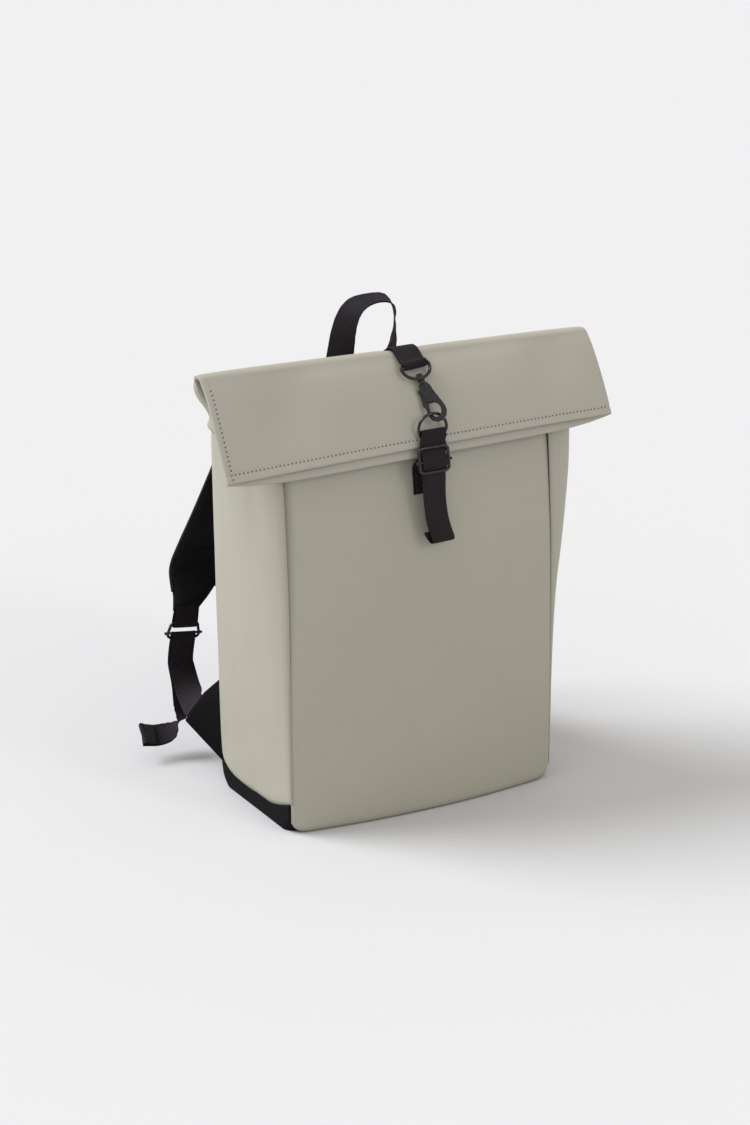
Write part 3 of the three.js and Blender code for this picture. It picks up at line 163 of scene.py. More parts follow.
@dataclass(frozen=True)
class RollForm:
    """The roll: a flattened tube that rises from the body, folds once and hangs down the front."""

    width: float = 400.0
    thickness: float = 5.6
    fold_y: float = -25.5
    fold_z: float = 424.4
    fold_inside: float = 3.5
    flap_length: float = 88.0
    flap_angle: float = 30.8
    belly: float = 7.0
    lip: float = 7.5
    front_touch: float = -33.5
    back_touch: float = 53.9
    # travel, left, right, square
    neck_rows: tuple[tuple[float, ...], ...] = (
        (0, 0, 0, 3), (0.22, 0.16, 0.2, 3.2), (0.45, 0.46, 0.44, 3.8), (0.66, 0.79, 0.66, 4.6),
        (0.84, 0.98, 0.86, 6), (1, 1.05, 0.97, 8),
    )
    # travel, belly, lift, left, right
    flap_rows: tuple[tuple[float, ...], ...] = (
        (0, 0.05, -3, 1.02, 1), (0.2, 0.4, -2.1, 1, 1), (0.45, 0.75, -1, 1, 1),
        (0.72, 0.95, 0.3, 0.99, 1), (1, 1, 1.2, 0.98, 1),
    )

    @property
    def out(self) -> Vector:
        """Direction out of the flap."""
        a = math.radians(self.flap_angle)
        return Vector((0, -math.cos(a), math.sin(a)))

    @property
    def down(self) -> Vector:
        """Direction down the flap."""
        a = math.radians(self.flap_angle)
        return Vector((0, -math.sin(a), -math.cos(a)))

    def on_fold(self, radius: float, angle: float) -> Vector:
        """Point about the fold's axis, in Y and Z."""
        a = math.radians(angle)
        return Vector((0, self.fold_y + radius * math.cos(a), self.fold_z + radius * math.sin(a)))

    def row(self, s: float) -> dict[str, float | Vector]:
        """Layers and creases at a place along the roll.

        Args:
            s: 0 to 1 up the neck, 1 to 2 round the fold, 2 to 3 down the flap.

        Returns:
            The two layers' lines, the crease widths and the flap's form.
        """
        outside = self.fold_inside + self.thickness
        widen = self.width / 2 - BODY.width / 2
        start = 180 - self.flap_angle
        lift = self.flap_rows[0][2] * BODY.cloth
        if s <= 1:
            a0 = Vector((0, BODY.front(BODY.height), BODY.height + BODY.gap))
            b0 = Vector((0, BODY.back(BODY.height), BODY.height + BODY.gap))
            left0, right0 = BODY.at(3, BODY.height), BODY.at(4, BODY.height)
            return {
                "front": a0.lerp(self.on_fold(self.fold_inside, self.front_touch), s),
                "back": b0.lerp(self.on_fold(outside, self.back_touch), s),
                "left": left0 + (widen - left0) * curve(self.neck_rows, 1, s),
                "right": right0 + (widen - right0) * curve(self.neck_rows, 2, s),
                "square": curve(self.neck_rows, 3, s), "belly": BODY.at(5, BODY.height) * (1 - s),
                "back_belly": 0.0, "lift": lift * s, "lip": 0.0,
            }
        if s <= 2:
            t = s - 1
            return {
                "front": self.on_fold(self.fold_inside, self.front_touch + (start - self.front_touch) * t),
                "back": self.on_fold(outside, self.back_touch + (start - self.back_touch) * t),
                "left": widen * (1.05 - 0.03 * t), "right": widen * (0.97 + 0.03 * t), "square": 8.0,
                "belly": 0.0, "back_belly": 0.0, "lift": lift, "lip": 0.0,
            }
        t = s - 2
        length = self.flap_length * t
        swell = self.belly * (curve(self.flap_rows, 1, t) - 0.05 * (1 - t))
        return {
            "front": self.on_fold(self.fold_inside, start) + self.down * length,
            "back": self.on_fold(outside, start) + self.down * length,
            "left": widen * curve(self.flap_rows, 3, t), "right": widen * curve(self.flap_rows, 4, t),
            "square": 8.0, "belly": swell, "back_belly": swell,
            "lift": curve(self.flap_rows, 2, t) * BODY.cloth, "lip": self.lip * t * t,
        }

    def layer(self, row: dict[str, float | Vector], back: bool, x: float) -> Vector:
        """Point of the roll's outer skin on one of its layers."""
        half = self.width / 2
        share = min(abs(x) / half, 1)
        base = row["back" if back else "front"]
        swell = row["back_belly" if back else "belly"] * (1 - share * share)
        lip = 0.0 if back else row["lip"] * (1 - share**6)
        p = Vector((x, base.y, base.z + row["lift"] * x / half))
        return p + self.out * swell + self.down * lip

    def point(self, s: float, q: float, inset: float = 0.0) -> Vector:
        """Point of the skin at a place along the roll and round it.

        Args:
            s: place along the roll, 0 to 3.
            q: place round it: 0 to 1 front layer, to 2 right crease, to 3 back layer, to 4 left.
            inset: distance into the cloth in mm.

        Returns:
            The point in mm.
        """
        row = self.row(s)
        half = BODY.width / 2
        q = q % 4
        through = (self.layer(row, True, 0) - self.layer(row, False, 0)).normalized() * inset
        if q < 1:
            return self.layer(row, False, (2 * q - 1) * half) + through
        if 2 <= q < 3:
            return self.layer(row, True, (5 - 2 * q) * half) - through
        side = 1 if q < 2 else -1
        c = q - 1 if q < 2 else 4 - q
        b = 1 - abs(1 - 2 * c) ** 2.6
        d = 0.5 * (1 - abs(1 - b) ** (1 / row["square"]))
        depth = d if c < 0.5 else 1 - d
        bulge = row["right" if side > 0 else "left"] - inset
        x = side * (half + bulge * b)
        front = self.layer(row, False, x) + through
        return front.lerp(self.layer(row, True, x) - through, depth)


ROLL = RollForm()


def centripetal(points: Sequence[Vector], t: float) -> Vector:
    """Point of the smooth curve through the given ones, at a share of its spans.

    Args:
        points: what the curve passes through.
        t: place along it, each span counting the same.

    Returns:
        The point.
    """
    last = len(points) - 1
    i = min(int(last * t), last - 1)
    s = last * t - i
    p1, p2 = points[i], points[i + 1]
    p0 = points[i - 1] if i else p1 * 2 - p2
    p3 = points[i + 2] if i + 2 <= last else p2 * 2 - p1
    before, span, after = (math.sqrt((b - a).length) for a, b in ((p0, p1), (p1, p2), (p2, p3)))
    m1 = ((p1 - p0) / before - (p2 - p0) / (before + span) + (p2 - p1) / span) * span
    m2 = ((p2 - p1) / span - (p3 - p1) / (span + after) + (p3 - p2) / after) * span
    return p1 + m1 * s + ((p2 - p1) * 3 - m1 * 2 - m2) * s**2 + ((p1 - p2) * 2 + m1 + m2) * s**3


def spaced(points: Sequence[Vector], count: int) -> list[Vector]:
    """Evenly spaced points of the smooth curve through the given ones.

    Args:
        points: what the curve passes through.
        count: number of equal steps.

    Returns:
        The points, both ends with them.
    """
    fine = 200
    line = [centripetal(points, k / fine) for k in range(fine + 1)]
    lengths = [0.0]
    for a, b in zip(line, line[1:]):
        lengths.append(lengths[-1] + (b - a).length)
    out = []
    for k in range(count + 1):
        want = lengths[-1] * k / count
        i = min(max(bisect.bisect_right(lengths, want) - 1, 0), fine - 1)
        out.append(centripetal(points, (i + (want - lengths[i]) / (lengths[i + 1] - lengths[i])) / fine))
    return out


def laid(points: Sequence[Vector], sides: Sequence[Vector]) -> Stations:
    """Stations of a band along points, its width turned square to the line."""
    out = []
    for i, at in enumerate(points):
        ahead = (points[min(i + 1, len(points) - 1)] - points[max(i - 1, 0)]).normalized()
        out.append((at, (sides[i] - ahead * sides[i].dot(ahead)).normalized()))
    return out


def round_bar(centre: Vector, out: Vector, up: Vector, radius: float,
              turn: tuple[float, float, int]) -> list[Vector]:
    """Points round a bar.

    Args:
        centre: middle of the bar.
        out: direction at no turn.
        up: direction at a quarter turn.
        radius: distance from the middle in mm.
        turn: first and last angle in degrees, and the number of steps.

    Returns:
        The points.
    """
    start, end, steps = turn
    angles = [math.radians(start + (end - start) * k / steps) for k in range(steps + 1)]
    return [centre + out * (radius * math.cos(a)) + up * (radius * math.sin(a)) for a in angles]


def turned(angle: float, axis: str) -> Matrix:
    """Turn about an axis, in degrees."""
    return Matrix.Rotation(math.radians(angle), 4, axis)


@dataclass(frozen=True)
class Layout:
    """Places of the straps and the metal in mm, worked out from the body's and the roll's forms."""

    webbing: float = 25.0
    band: float = 1.6
    wire: float = 2.9
    ring_wire: float = 2.8
    loop_wire: float = 3.1
    # angles of the roll's outer layer about the fold's axis, between neck and flap
    fold_turn: tuple[float, ...] = (76, 98, 122)
    strap_across: float = 5.0
    strap_back: float = 62.0
    hook_place: tuple[float, float, float] = (27.5, 7.0, 8.5)
    hook_roll: float = 4.0
    bar_out: float = 5.6
    bar_height: float = 15.75
    ring_place: tuple[float, float, float] = (77.0, 5.2, 5.2)
    ring_lean: float = 27.0
    slider_drop: float = 10.5
    slider_across: float = 1.2
    slider_out: float = 8.0
    slider_lean: float = 10.0
    slider_height: float = 22.5
    anchor: float = 27.0
    tail: float = 66.0
    handle_spread: float = 54.0
    handle_rise: float = 39.5
    strap_slider_drop: float = 22.0
    strap_slider_height: float = 15.0
    loop_reach: float = 26.0
    padding: float = 10.0
    # spread, rise and reach as shares, twist in degrees, tilt
    handle_form: tuple[tuple[float, ...], ...] = (
        (1, 0.28, 0.4, 36, 0), (1.01, 0.52, 0.6, 52, -0.05), (0.96, 0.74, 0.8, 66, -0.14),
        (0.78, 0.9, 0.96, 78, -0.1), (0.44, 0.98, 1.06, 85, 0.12), (0, 1, 1.1, 90, 0.34),
    )
    # across, out and up as shares of the body's width, depth and height
    pad_form: tuple[tuple[float, ...], ...] = (
        (0.2, 0, 0.905), (0.2, 0.06, 0.907), (0.208, 0.2, 0.912), (0.222, 0.33, 0.895),
        (0.24, 0.42, 0.84), (0.264, 0.475, 0.772), (0.29, 0.535, 0.7), (0.314, 0.597, 0.631),
        (0.339, 0.672, 0.558), (0.368, 0.711, 0.494), (0.385, 0.69, 0.458), (0.412, 0.645, 0.42),
        (0.447, 0.598, 0.39),
    )
    # the same three shares, then the direction of the width
    adjuster_run: tuple[tuple[float, ...], ...] = (
        (0.472, 0.6, 0.25, 1, 0, 0), (0.472, 0.56, 0.224, 1, 0.05, 0.02),
        (0.482, 0.475, 0.195, 0.95, 0.1, 0.2), (0.5, 0.36, 0.183, 0.82, 0.05, 0.5),
        (0.522, 0.25, 0.184, 0.68, -0.05, 0.72), (0.536, 0.17, 0.19, 0.66, -0.06, 0.74),
    )
    adjuster_tail: tuple[tuple[float, ...], ...] = (
        (0.472, 0.64, 0.25, 1, 0, 0), (0.472, 0.62, 0.224, 1, 0.05, 0), (0.478, 0.56, 0.185, 1, 0.1, 0),
        (0.49, 0.52, 0.145, 0.95, 0.25, 0.05), (0.508, 0.49, 0.105, 0.75, 0.5, 0.2),
        (0.54, 0.5, 0.075, 0.4, 0.75, 0.45), (0.595, 0.515, 0.066, 0.1, 0.85, 0.5),
        (0.645, 0.525, 0.072, 0, 0.86, 0.5),
    )

    @property
    def lay(self) -> float:
        """Height of a band's middle over the cloth it lies on."""
        return BODY.gap + self.band / 2 + 0.1

    def outer_rows(self) -> list[tuple[Vector, float, float]]:
        """Place, swell and lift of the roll's outer layer, from the body seam to the hem."""
        outside = ROLL.fold_inside + ROLL.thickness
        lift = ROLL.flap_rows[0][2] * BODY.cloth
        foot = Vector((0, BODY.back(BODY.height), BODY.height + BODY.gap))
        top = ROLL.on_fold(outside, ROLL.back_touch)
        hang = ROLL.on_fold(outside, 180 - ROLL.flap_angle)
        rows = [(foot.lerp(top, row[0]), 0.0, lift * row[0]) for row in ROLL.neck_rows]
        rows += [(ROLL.on_fold(outside, angle), 0.0, lift) for angle in self.fold_turn]
        for travel, swell, rise, *_ in ROLL.flap_rows:
            at = hang + ROLL.down * (ROLL.flap_length * travel)
            rows.append((at, ROLL.belly * swell, rise * BODY.cloth))
        return rows

    def over_roll(self, place: float, x: float, out: float) -> Vector:
        """Point above the roll's outer layer.

        Args:
            place: place along it, counted in its rows from the body seam.
            x: place across.
            out: height above the cloth.

        Returns:
            The point.
        """
        rows = self.outer_rows()
        last = len(rows) - 1
        half = ROLL.width / 2
        share = min(abs(x) / half, 1)

        def skin(at: float) -> Vector:
            """Point of the outer layer."""
            i = min(max(int(at), 0), last - 1)
            a, b = (Vector((x, p.y, p.z + lift * x / half)) + ROLL.out * (swell * (1 - share * share))
                    for p, swell, lift in rows[i:i + 2])
            return a.lerp(b, at - i)

        along = skin(min(place + 0.5, last)) - skin(max(place - 0.5, 0))
        face = Vector((0, along.z, -along.y)).normalized()
        return skin(place) + face * math.copysign(out, face.z)

    def flap_point(self, along: float, x: float, out: float) -> Vector:
        """Point above the flap, its first place counted down from the fold."""
        share = along / ROLL.flap_length
        rows = ROLL.flap_rows
        i = 0
        while i < len(rows) - 2 and rows[i + 1][0] < share:
            i += 1
        first = len(ROLL.neck_rows) + len(self.fold_turn)
        return self.over_roll(first + i + (share - rows[i][0]) / (rows[i + 1][0] - rows[i][0]), x, out)

    def flap_frame(self, place: tuple[float, float, float], lean: float = 0.0, roll: float = 0.0) -> Matrix:
        """Frame on the flap: X across, Y up it and Z out of it, leaning and rolled in degrees."""
        basis = Matrix((Vector((1, 0, 0)), -ROLL.down, ROLL.out)).transposed().to_4x4()
        return Matrix.Translation(self.flap_point(*place)) @ basis @ turned(roll, "Z") @ turned(lean, "X")

    @property
    def swivel_frame(self) -> Matrix:
        """Frame of the hook's swivel head."""
        lean = math.degrees(math.asin((self.hook_place[2] - self.bar_out) / self.bar_height))
        return self.flap_frame(self.hook_place, -lean, self.hook_roll)

    @property
    def ring_frame(self) -> Matrix:
        """Frame of the ring, on its straight side."""
        return self.flap_frame(self.ring_place, self.ring_lean)

    @property
    def hem(self) -> Vector:
        """The flap's outer hem above the closure slider."""
        return ROLL.layer(ROLL.row(3), True, self.slider_across)

    @property
    def slider_frame(self) -> Matrix:
        """Frame of the closure slider, which hangs below the hem."""
        place = (self.slider_across, self.hem.y - self.slider_out, self.hem.z - self.slider_drop)
        return Matrix.Translation(place) @ turned(90 - self.slider_lean, "X")

    def strap_place(self, row: Sequence[float], side: int) -> Vector:
        """Point beside the back from its three shares."""
        x, z = self.pad_form[0][0] * BODY.width, self.pad_form[0][2] * BODY.height
        foot = BODY.edge(1) + BODY.gap
        up = 2 * (z - foot) / (BODY.height - foot) - 1
        swell = (1 - (x / BODY.panel_half) ** 4) * (1 - up**4) * self.padding * 0.45
        y = BODY.back(z) + swell + BODY.gap * 2
        return Vector((side * row[0] * BODY.width, y + row[1] * BODY.depth, row[2] * BODY.height))

    def strap_slider_frame(self, side: int) -> Matrix:
        """Frame of a strap's slider, in line with the strap's end and the adjuster."""
        end = self.strap_place(self.pad_form[-1], side)
        run, tail = (self.strap_place(rows[0], side) for rows in (self.adjuster_run, self.adjuster_tail))
        down = (run.lerp(tail, 0.5) - end).normalized()
        across = (Vector((1, 0, 0)) - down * down.x).normalized()
        basis = Matrix((across, -down, across.cross(-down).normalized())).transposed().to_4x4()
        return Matrix.Translation(end + down * self.strap_slider_drop) @ basis

    def handle(self) -> Stations:
        """Haul handle, from its left foot over to its right foot."""
        foot = Vector((0, BODY.back(BODY.height) * 0.62, BODY.height + 22))
        top = ROLL.fold_z + ROLL.fold_inside + ROLL.thickness + self.handle_rise
        half = []
        for i, place in enumerate((0.8, 1.05, 1.3)):
            at = self.over_roll(place, 0, self.lay + 0.3 + 0.45 * i * i)
            half.append((Vector((self.handle_spread / 2, at.y, at.z)), 0.0, 0.0))
        for spread, rise, reach, twist, tilt in self.handle_form:
            at = Vector((spread * self.handle_spread / 2, foot.y - reach * self.webbing,
                         foot.z + rise * (top - foot.z)))
            half.append((at, twist, tilt))
        rows = [(Vector((-p.x, p.y, p.z)), twist, tilt) for p, twist, tilt in half]
        rows += [(p, 180 - twist, tilt) for p, twist, tilt in reversed(half[:-1])]
        points, sides = [], []
        count = 48
        for k in range(count + 1):
            at = k / count * (len(rows) - 1)
            i = min(int(at), len(rows) - 2)
            twist, tilt = (rows[i][n] + (rows[i + 1][n] - rows[i][n]) * (at - i) for n in (1, 2))
            points.append(centripetal([row[0] for row in rows], k / count))
            sides.append(Vector((math.cos(math.radians(twist)), -math.sin(math.radians(twist)), tilt)))
        return laid(points, sides)[::2]

    def closure_top(self) -> Stations:
        """Closure strap from behind the roll over the fold and round the hook's bar."""
        rows = self.outer_rows()
        neck = len(ROLL.neck_rows) - 1
        first = neck * (1 - self.strap_back / (rows[neck][0] - rows[0][0]).length)
        places = [first, (first + neck) / 2, *range(neck, neck + 1 + len(self.fold_turn))]
        over = [self.over_roll(place, self.strap_across, self.lay + 0.3) for place in places]
        frame_ = self.swivel_frame
        axes = frame_.to_3x3()
        bar_ = frame_ @ Vector((0, self.bar_height, 0))
        for i, p in enumerate(over):
            p.x += (bar_.x - self.strap_across) * min(max((i - 3) / (len(over) - 4), 0), 1)
        radius = self.loop_wire / 2 + BODY.gap + self.band / 2
        points = over + round_bar(bar_, axes.col[2], axes.col[1], radius, (85, -100, 7))
        ahead = len(over) - 1
        return laid(points, [Vector((1, 0, 0)) if i < ahead else axes.col[0] for i in range(len(points))])

    def closure_lower(self) -> Stations:
        """Closure strap from its anchor round the ring, through the slider, to its free end."""
        x, hem, lay = self.slider_across, self.hem, self.lay
        lip = ROLL.layer(ROLL.row(3), False, x)
        top = lip.z - ROLL.lip * 1.2
        weave = self.wire / 2 + BODY.gap + self.band / 2
        frame_ = self.slider_frame
        radius = self.ring_wire / 2 + BODY.gap + self.band / 2
        turn = round_bar(self.ring_frame.translation, ROLL.out, -ROLL.down, radius, (235, -20, 9))
        rise = spaced([
            BODY.front_point(x, top - self.anchor, lay + 0.2),
            BODY.front_point(x, top - self.anchor * 0.5, lay + 0.2),
            BODY.front_point(x, top - 3, lay + 0.4),
            Vector((x, (BODY.front_point(x, top).y + hem.y) / 2 - lay - 2.2, lip.z - 4)),
            Vector((self.ring_place[1], hem.y - lay - 1.5, hem.z - 1.5)),
            self.flap_point(ROLL.flap_length - 6, self.ring_place[1], lay + 0.6),
            turn[0],
        ], 16)[:-1]
        over_bar = self.wire * 0.42 + BODY.gap + self.band / 2 + 0.15
        woven = [frame_ @ Vector((0, share * self.slider_height, out))
                 for share, out in ((0.5, -weave), (-0.06, over_bar), (-0.5, -weave - 0.35))]
        low = woven[-1]
        tail = [low]
        for across, out, share in ((0.2, -0.3, 0.12), (1.4, 0.6, 0.4), (4.5, 1, 0.7), (10, -0.5, 1)):
            tail.append(Vector((x + across, low.y + out, low.z - self.tail * share)))
        points = rise + turn + spaced([turn[-1], *woven], 16)[1:]
        sides = [Vector((1, 0, 0))] * len(points)
        for p in spaced(tail, 10)[1:]:
            hang = (low.z - p.z) / self.tail
            points.append(p)
            sides.append(Vector((1, 0.25 * hang, 0.12 * hang)))
        return laid(points, sides)

    def strap_loop(self) -> Stations:
        """Short webbing at a strap's end round its slider's top bar, in the slider's own frame."""
        radius = self.wire / 2 + BODY.gap + self.band / 2 + 0.1
        bar_ = Vector((0, self.strap_slider_height / 2, 0))
        turn = round_bar(bar_, Vector((0, 0, 1)), Vector((0, 1, 0)), radius, (10, -190, 8))
        points = [Vector((0, self.loop_reach, 1)), *turn, Vector((0, self.loop_reach, -1))]
        return laid(points, [Vector((1, 0, 0))] * len(points))

    def pad(self) -> Stations:
        """Left shoulder strap from the back panel down."""
        rows = [self.strap_place(row, -1) for row in self.pad_form]
        count = 22
        return [(centripetal(rows, k / count), Vector((1, -0.12 * min(k / 4, 1), 0)).normalized())
                for k in range(count + 1)]

    def free_run(self, rows: Sequence[Sequence[float]]) -> Stations:
        """Stretch of the left adjuster webbing between given places."""
        places = [self.strap_place(row, -1) for row in rows]
        count = 18
        out = []
        for k in range(count + 1):
            at = k / count * (len(rows) - 1)
            i = min(int(at), len(rows) - 2)
            wide = [rows[i][n] + (rows[i + 1][n] - rows[i][n]) * (at - i) for n in (3, 4, 5)]
            out.append((centripetal(places, k / count), Vector(wide)))
        return out

    def adjuster(self) -> Stations:
        """Left adjuster webbing from the wing over the slider's bar to its free end."""
        frame_ = self.strap_slider_frame(-1)
        radius = self.wire * 0.42 + BODY.gap + self.band / 2 + 0.1
        clear = self.wire / 2 + BODY.gap + self.band / 2 + 0.2
        low = -self.strap_slider_height / 2
        bar_ = Vector((0, -0.2 * self.strap_slider_height, 0))
        turn = round_bar(bar_, Vector((0, 0, 1)), Vector((0, 1, 0)), radius, (-10, 190, 6))
        path = [Vector((0, low - 3, clear)), Vector((0, low, clear)), *turn,
                Vector((0, low, -clear)), Vector((0, low - 3, -clear))]
        across = frame_.to_3x3().col[0]
        rows = self.free_run(self.adjuster_run)[::-1]
        rows += [(frame_ @ p, across) for p in path]
        rows += self.free_run(self.adjuster_tail)
        return laid([row[0] for row in rows], [row[1] for row in rows])


LAYOUT = Layout()


def tidy_normals(bm: bmesh.types.BMesh) -> None:
    """Turns every face outwards."""
    bmesh.ops.recalc_face_normals(bm, faces=bm.faces)


def piece(name: str, bm: bmesh.types.BMesh, material: bpy.types.Material,
          replaces: Sequence[str] = (), body: str = "bag", smooth: bool = True) -> bpy.types.Object:
    """Makes an object of a finished bmesh and hangs it on a body.

    Args:
        name: the object's name.
        bm: its mesh, in metres; it is freed.
        material: its finish.
        replaces: solids that it stands for.
        body: the body it rides on.
        smooth: whether its faces are shaded smooth.

    Returns:
        The new object.
    """
    mesh = bpy.data.meshes.new(name)
    bm.to_mesh(mesh)
    bm.free()
    for face in mesh.polygons:
        face.use_smooth = smooth
    mesh.materials.append(material)
    obj = bpy.data.objects.new(name, mesh)
    bpy.context.scene.collection.objects.link(obj)
    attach(obj, body)
    if replaces:
        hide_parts(*replaces)
    LOG.info("%s: %d faces", name, len(mesh.polygons))
    return obj


def cloth_grid(across: int, along: int, place: Place, size: tuple[float, float],
               weld: bool = False) -> bmesh.types.BMesh:
    """Grid laid on a surface, with a UV map in metres.

    Args:
        across: cells along the first direction.
        along: cells along the second direction.
        place: point in mm at two shares from 0 to 1.
        size: the cloth's rough size in mm, for the UV map.
        weld: whether the first direction closes on itself.

    Returns:
        The open surface in metres.
    """
    bm = bmesh.new()
    bm.loops.layers.uv.new("cloth")
    bmesh.ops.create_grid(bm, x_segments=across, y_segments=along, size=0.5, calc_uvs=True)
    layer = bm.loops.layers.uv.active
    for face in bm.faces:
        for loop in face.loops:
            u, v = loop.vert.co.x + 0.5, loop.vert.co.y + 0.5
            loop[layer].uv = (u * size[0] * MM, v * size[1] * MM)
    for vert in bm.verts:
        vert.co = place(vert.co.x + 0.5, vert.co.y + 0.5) * MM
    if weld:
        bmesh.ops.remove_doubles(bm, verts=bm.verts, dist=1e-6)
    return bm


def thicken(bm: bmesh.types.BMesh, thickness: float, inner: Vector | None = None) -> None:
    """Gives an open surface a wall.

    Args:
        bm: the surface.
        thickness: wall in mm, inwards.
        inner: a point in metres on the inner side, by which the faces are turned first.
    """
    tidy_normals(bm)
    if inner is not None:
        score = sum((f.calc_center_median() - inner).dot(f.normal) * f.calc_area() for f in bm.faces)
        if score < 0:
            bmesh.ops.reverse_faces(bm, faces=bm.faces)
    bmesh.ops.solidify(bm, geom=list(bm.faces), thickness=thickness * MM)


class Route3:
    """A band's route: its middle line and the direction of its width."""

    def __init__(self, stations: Stations, mirror: bool = False, rounds: int = 0, skew: bool = False) -> None:
        """Keeps the stations.

        Args:
            stations: points of the middle line in mm with their width directions.
            mirror: whether to mirror them about X = 0.
            rounds: how often the stations are evened out.
            skew: whether the width may lean against the line.
        """
        flip = -1 if mirror else 1
        self.skew = skew
        self.at = [Vector((at.x * flip, at.y, at.z)) for at, _ in stations]
        self.side = [Vector((side.x, side.y * flip, side.z * flip)).normalized() for _, side in stations]
        for number in range(rounds):
            for kept in (self.at, self.side) if number == 0 else (self.side,):
                old = [v.copy() for v in kept]
                for i in range(1, len(old) - 1):
                    kept[i] = old[i] * 0.5 + (old[i - 1] + old[i + 1]) * 0.25
        self.measure()

    def measure(self) -> None:
        """Measures the line again after its stations change."""
        self.lengths = [0.0]
        for a, b in zip(self.at, self.at[1:]):
            self.lengths.append(self.lengths[-1] + (b - a).length)

    def fold_end(self, hem: float, under: float, drift: float) -> None:
        """Turns the free end back on itself as a short hem.

        Args:
            hem: length of the turned part in mm.
            under: gap between the two layers' middles, with its sign the side it turns to.
            drift: how far the turned part strays sideways.
        """
        end, side = self.at[-1].copy(), self.side[-1].copy()
        ahead = (end - self.at[-2]).normalized()
        face = ahead.cross(side).normalized() * under
        for go, out, stray in ((0.9, 0.5, 0.1), (0.2, 0.98, 0.25), (-0.35 * hem, 1.0, 0.6), (-hem, 1.0, 1.0)):
            self.at.append(end + ahead * go + face * out + side * drift * stray)
            self.side.append(side)
        self.measure()

    @property
    def length(self) -> float:
        """Length of the middle line in mm."""
        return self.lengths[-1]

    def sample(self, t: float) -> tuple[Vector, Vector, Vector]:
        """Point, width direction and face direction at a share of the length."""
        want = min(max(t, 0.0), 1.0) * self.length
        i = 0
        while i < len(self.at) - 2 and self.lengths[i + 1] < want:
            i += 1
        span = max(self.lengths[i + 1] - self.lengths[i], 1e-9)
        s = (want - self.lengths[i]) / span
        p0 = self.at[max(i - 1, 0)]
        p1, p2 = self.at[i], self.at[i + 1]
        p3 = self.at[min(i + 2, len(self.at) - 1)]
        before = max((p1 - p0).length, 1e-6)
        after = max((p3 - p2).length, 1e-6)
        m1 = ((p2 - p1) / span + (p1 - p0) / before) * 0.5 * span if i else p2 - p1
        m2 = ((p3 - p2) / after + (p2 - p1) / span) * 0.5 * span if i < len(self.at) - 2 else p2 - p1
        h = s * s * (3 - 2 * s)
        at = p1 * (1 - h) + p2 * h + m1 * (s * (1 - s) ** 2) - m2 * (s * s * (1 - s))
        d = 6 * s * (1 - s)
        tangent = (p2 - p1) * d + m1 * ((1 - s) * (1 - 3 * s)) + m2 * (s * (3 * s - 2))
        if tangent.length < 1e-9:
            tangent = p2 - p1
        tangent.normalize()
        side = self.side[i].lerp(self.side[i + 1], h).normalized()
        if not self.skew:
            side = (side - tangent * side.dot(tangent)).normalized()
        return at, side, tangent.cross(side).normalized()


@dataclass
class Webbing:
    """A length of webbing: a flat woven band with rounded selvedges."""

    name: str
    route: Route3
    replaces: tuple[str, ...]
    material: bpy.types.Material
    width: float = 25.0
    thickness: float = 1.5
    cells: int = 10
    step: float = 1.6
    frame: Matrix | None = None

    def build(self) -> bpy.types.Object:
        """Builds the band.

        Returns:
            The finished object.
        """
        along = max(int(self.route.length / self.step), 12)

        def place(u: float, v: float) -> Vector:
            """Point on the band's upper face."""
            at, side, up = self.route.sample(v)
            a = 2 * u - 1
            crown = 0.5 * self.thickness * (1 - 0.35 * a**6)
            p = at + side * (a * self.width / 2) + up * crown
            return self.frame @ p if self.frame else p

        bm = cloth_grid(self.cells, along, place, (self.width, self.route.length))
        bmesh.ops.solidify(bm, geom=list(bm.faces), thickness=self.thickness * MM)
        tidy_normals(bm)
        rim = [e for e in bm.edges if e.is_manifold and e.calc_face_angle(0) > 1.0]
        bmesh.ops.bevel(bm, geom=rim, offset=0.35 * MM, segments=2, profile=0.5,
                        affect="EDGES", material=-1, clamp_overlap=True)
        return piece(self.name, bm, self.material, self.replaces)


@dataclass
class StitchRow:
    """Thread stitches along a line, each a small rounded pill."""

    line: Callable[[float], tuple[Vector, Vector]]
    length: float
    pitch: float = 3.1
    stitch: float = 2.3
    thread: float = 0.55

    def add_to(self, bm: bmesh.types.BMesh, shift: float = 0.5, long: float = 1.0, wide: float = 1.0) -> None:
        """Adds the stitches to a mesh.

        Args:
            bm: the mesh.
            shift: place of a stitch within its pitch.
            long: its length as a share of a stitch.
            wide: its width as a share of the thread.
        """
        count = max(int(self.length / self.pitch), 2)
        for k in range(count):
            t = (k + shift) / count
            at, up = self.line(t)
            ahead = (self.line(min(t + 0.004, 1))[0] - self.line(max(t - 0.004, 0))[0]).normalized()
            side = up.cross(ahead).normalized()
            turn = Matrix((ahead, side, ahead.cross(side))).transposed().to_4x4()
            halves = (self.stitch * long / 2 * MM, self.thread * wide / 2 * MM, self.thread * 0.4 * MM, 1)
            size = Matrix.Diagonal(halves)
            bmesh.ops.create_uvsphere(
                bm, u_segments=6, v_segments=5, radius=1,
                matrix=Matrix.Translation(at * MM) @ turn @ size,
            )


def stitch_piece(name: str, rows: Sequence[StitchRow], material: bpy.types.Material,
                 holes: bpy.types.Material | None = None) -> None:
    """Objects of several rows of stitches, and, where a finish is given, dark pills between them at the
    needle holes as painted shade.
    """
    bm = bmesh.new()
    for row in rows:
        row.add_to(bm)
    piece(name, bm, material)
    if holes:
        # dark pills between the stitches at the needle holes: painted shade in the holes
        bm = bmesh.new()
        for row in rows:
            row.add_to(bm, 1.0, 0.72, 1.5)
        piece(f"{name}_holes", bm, holes)


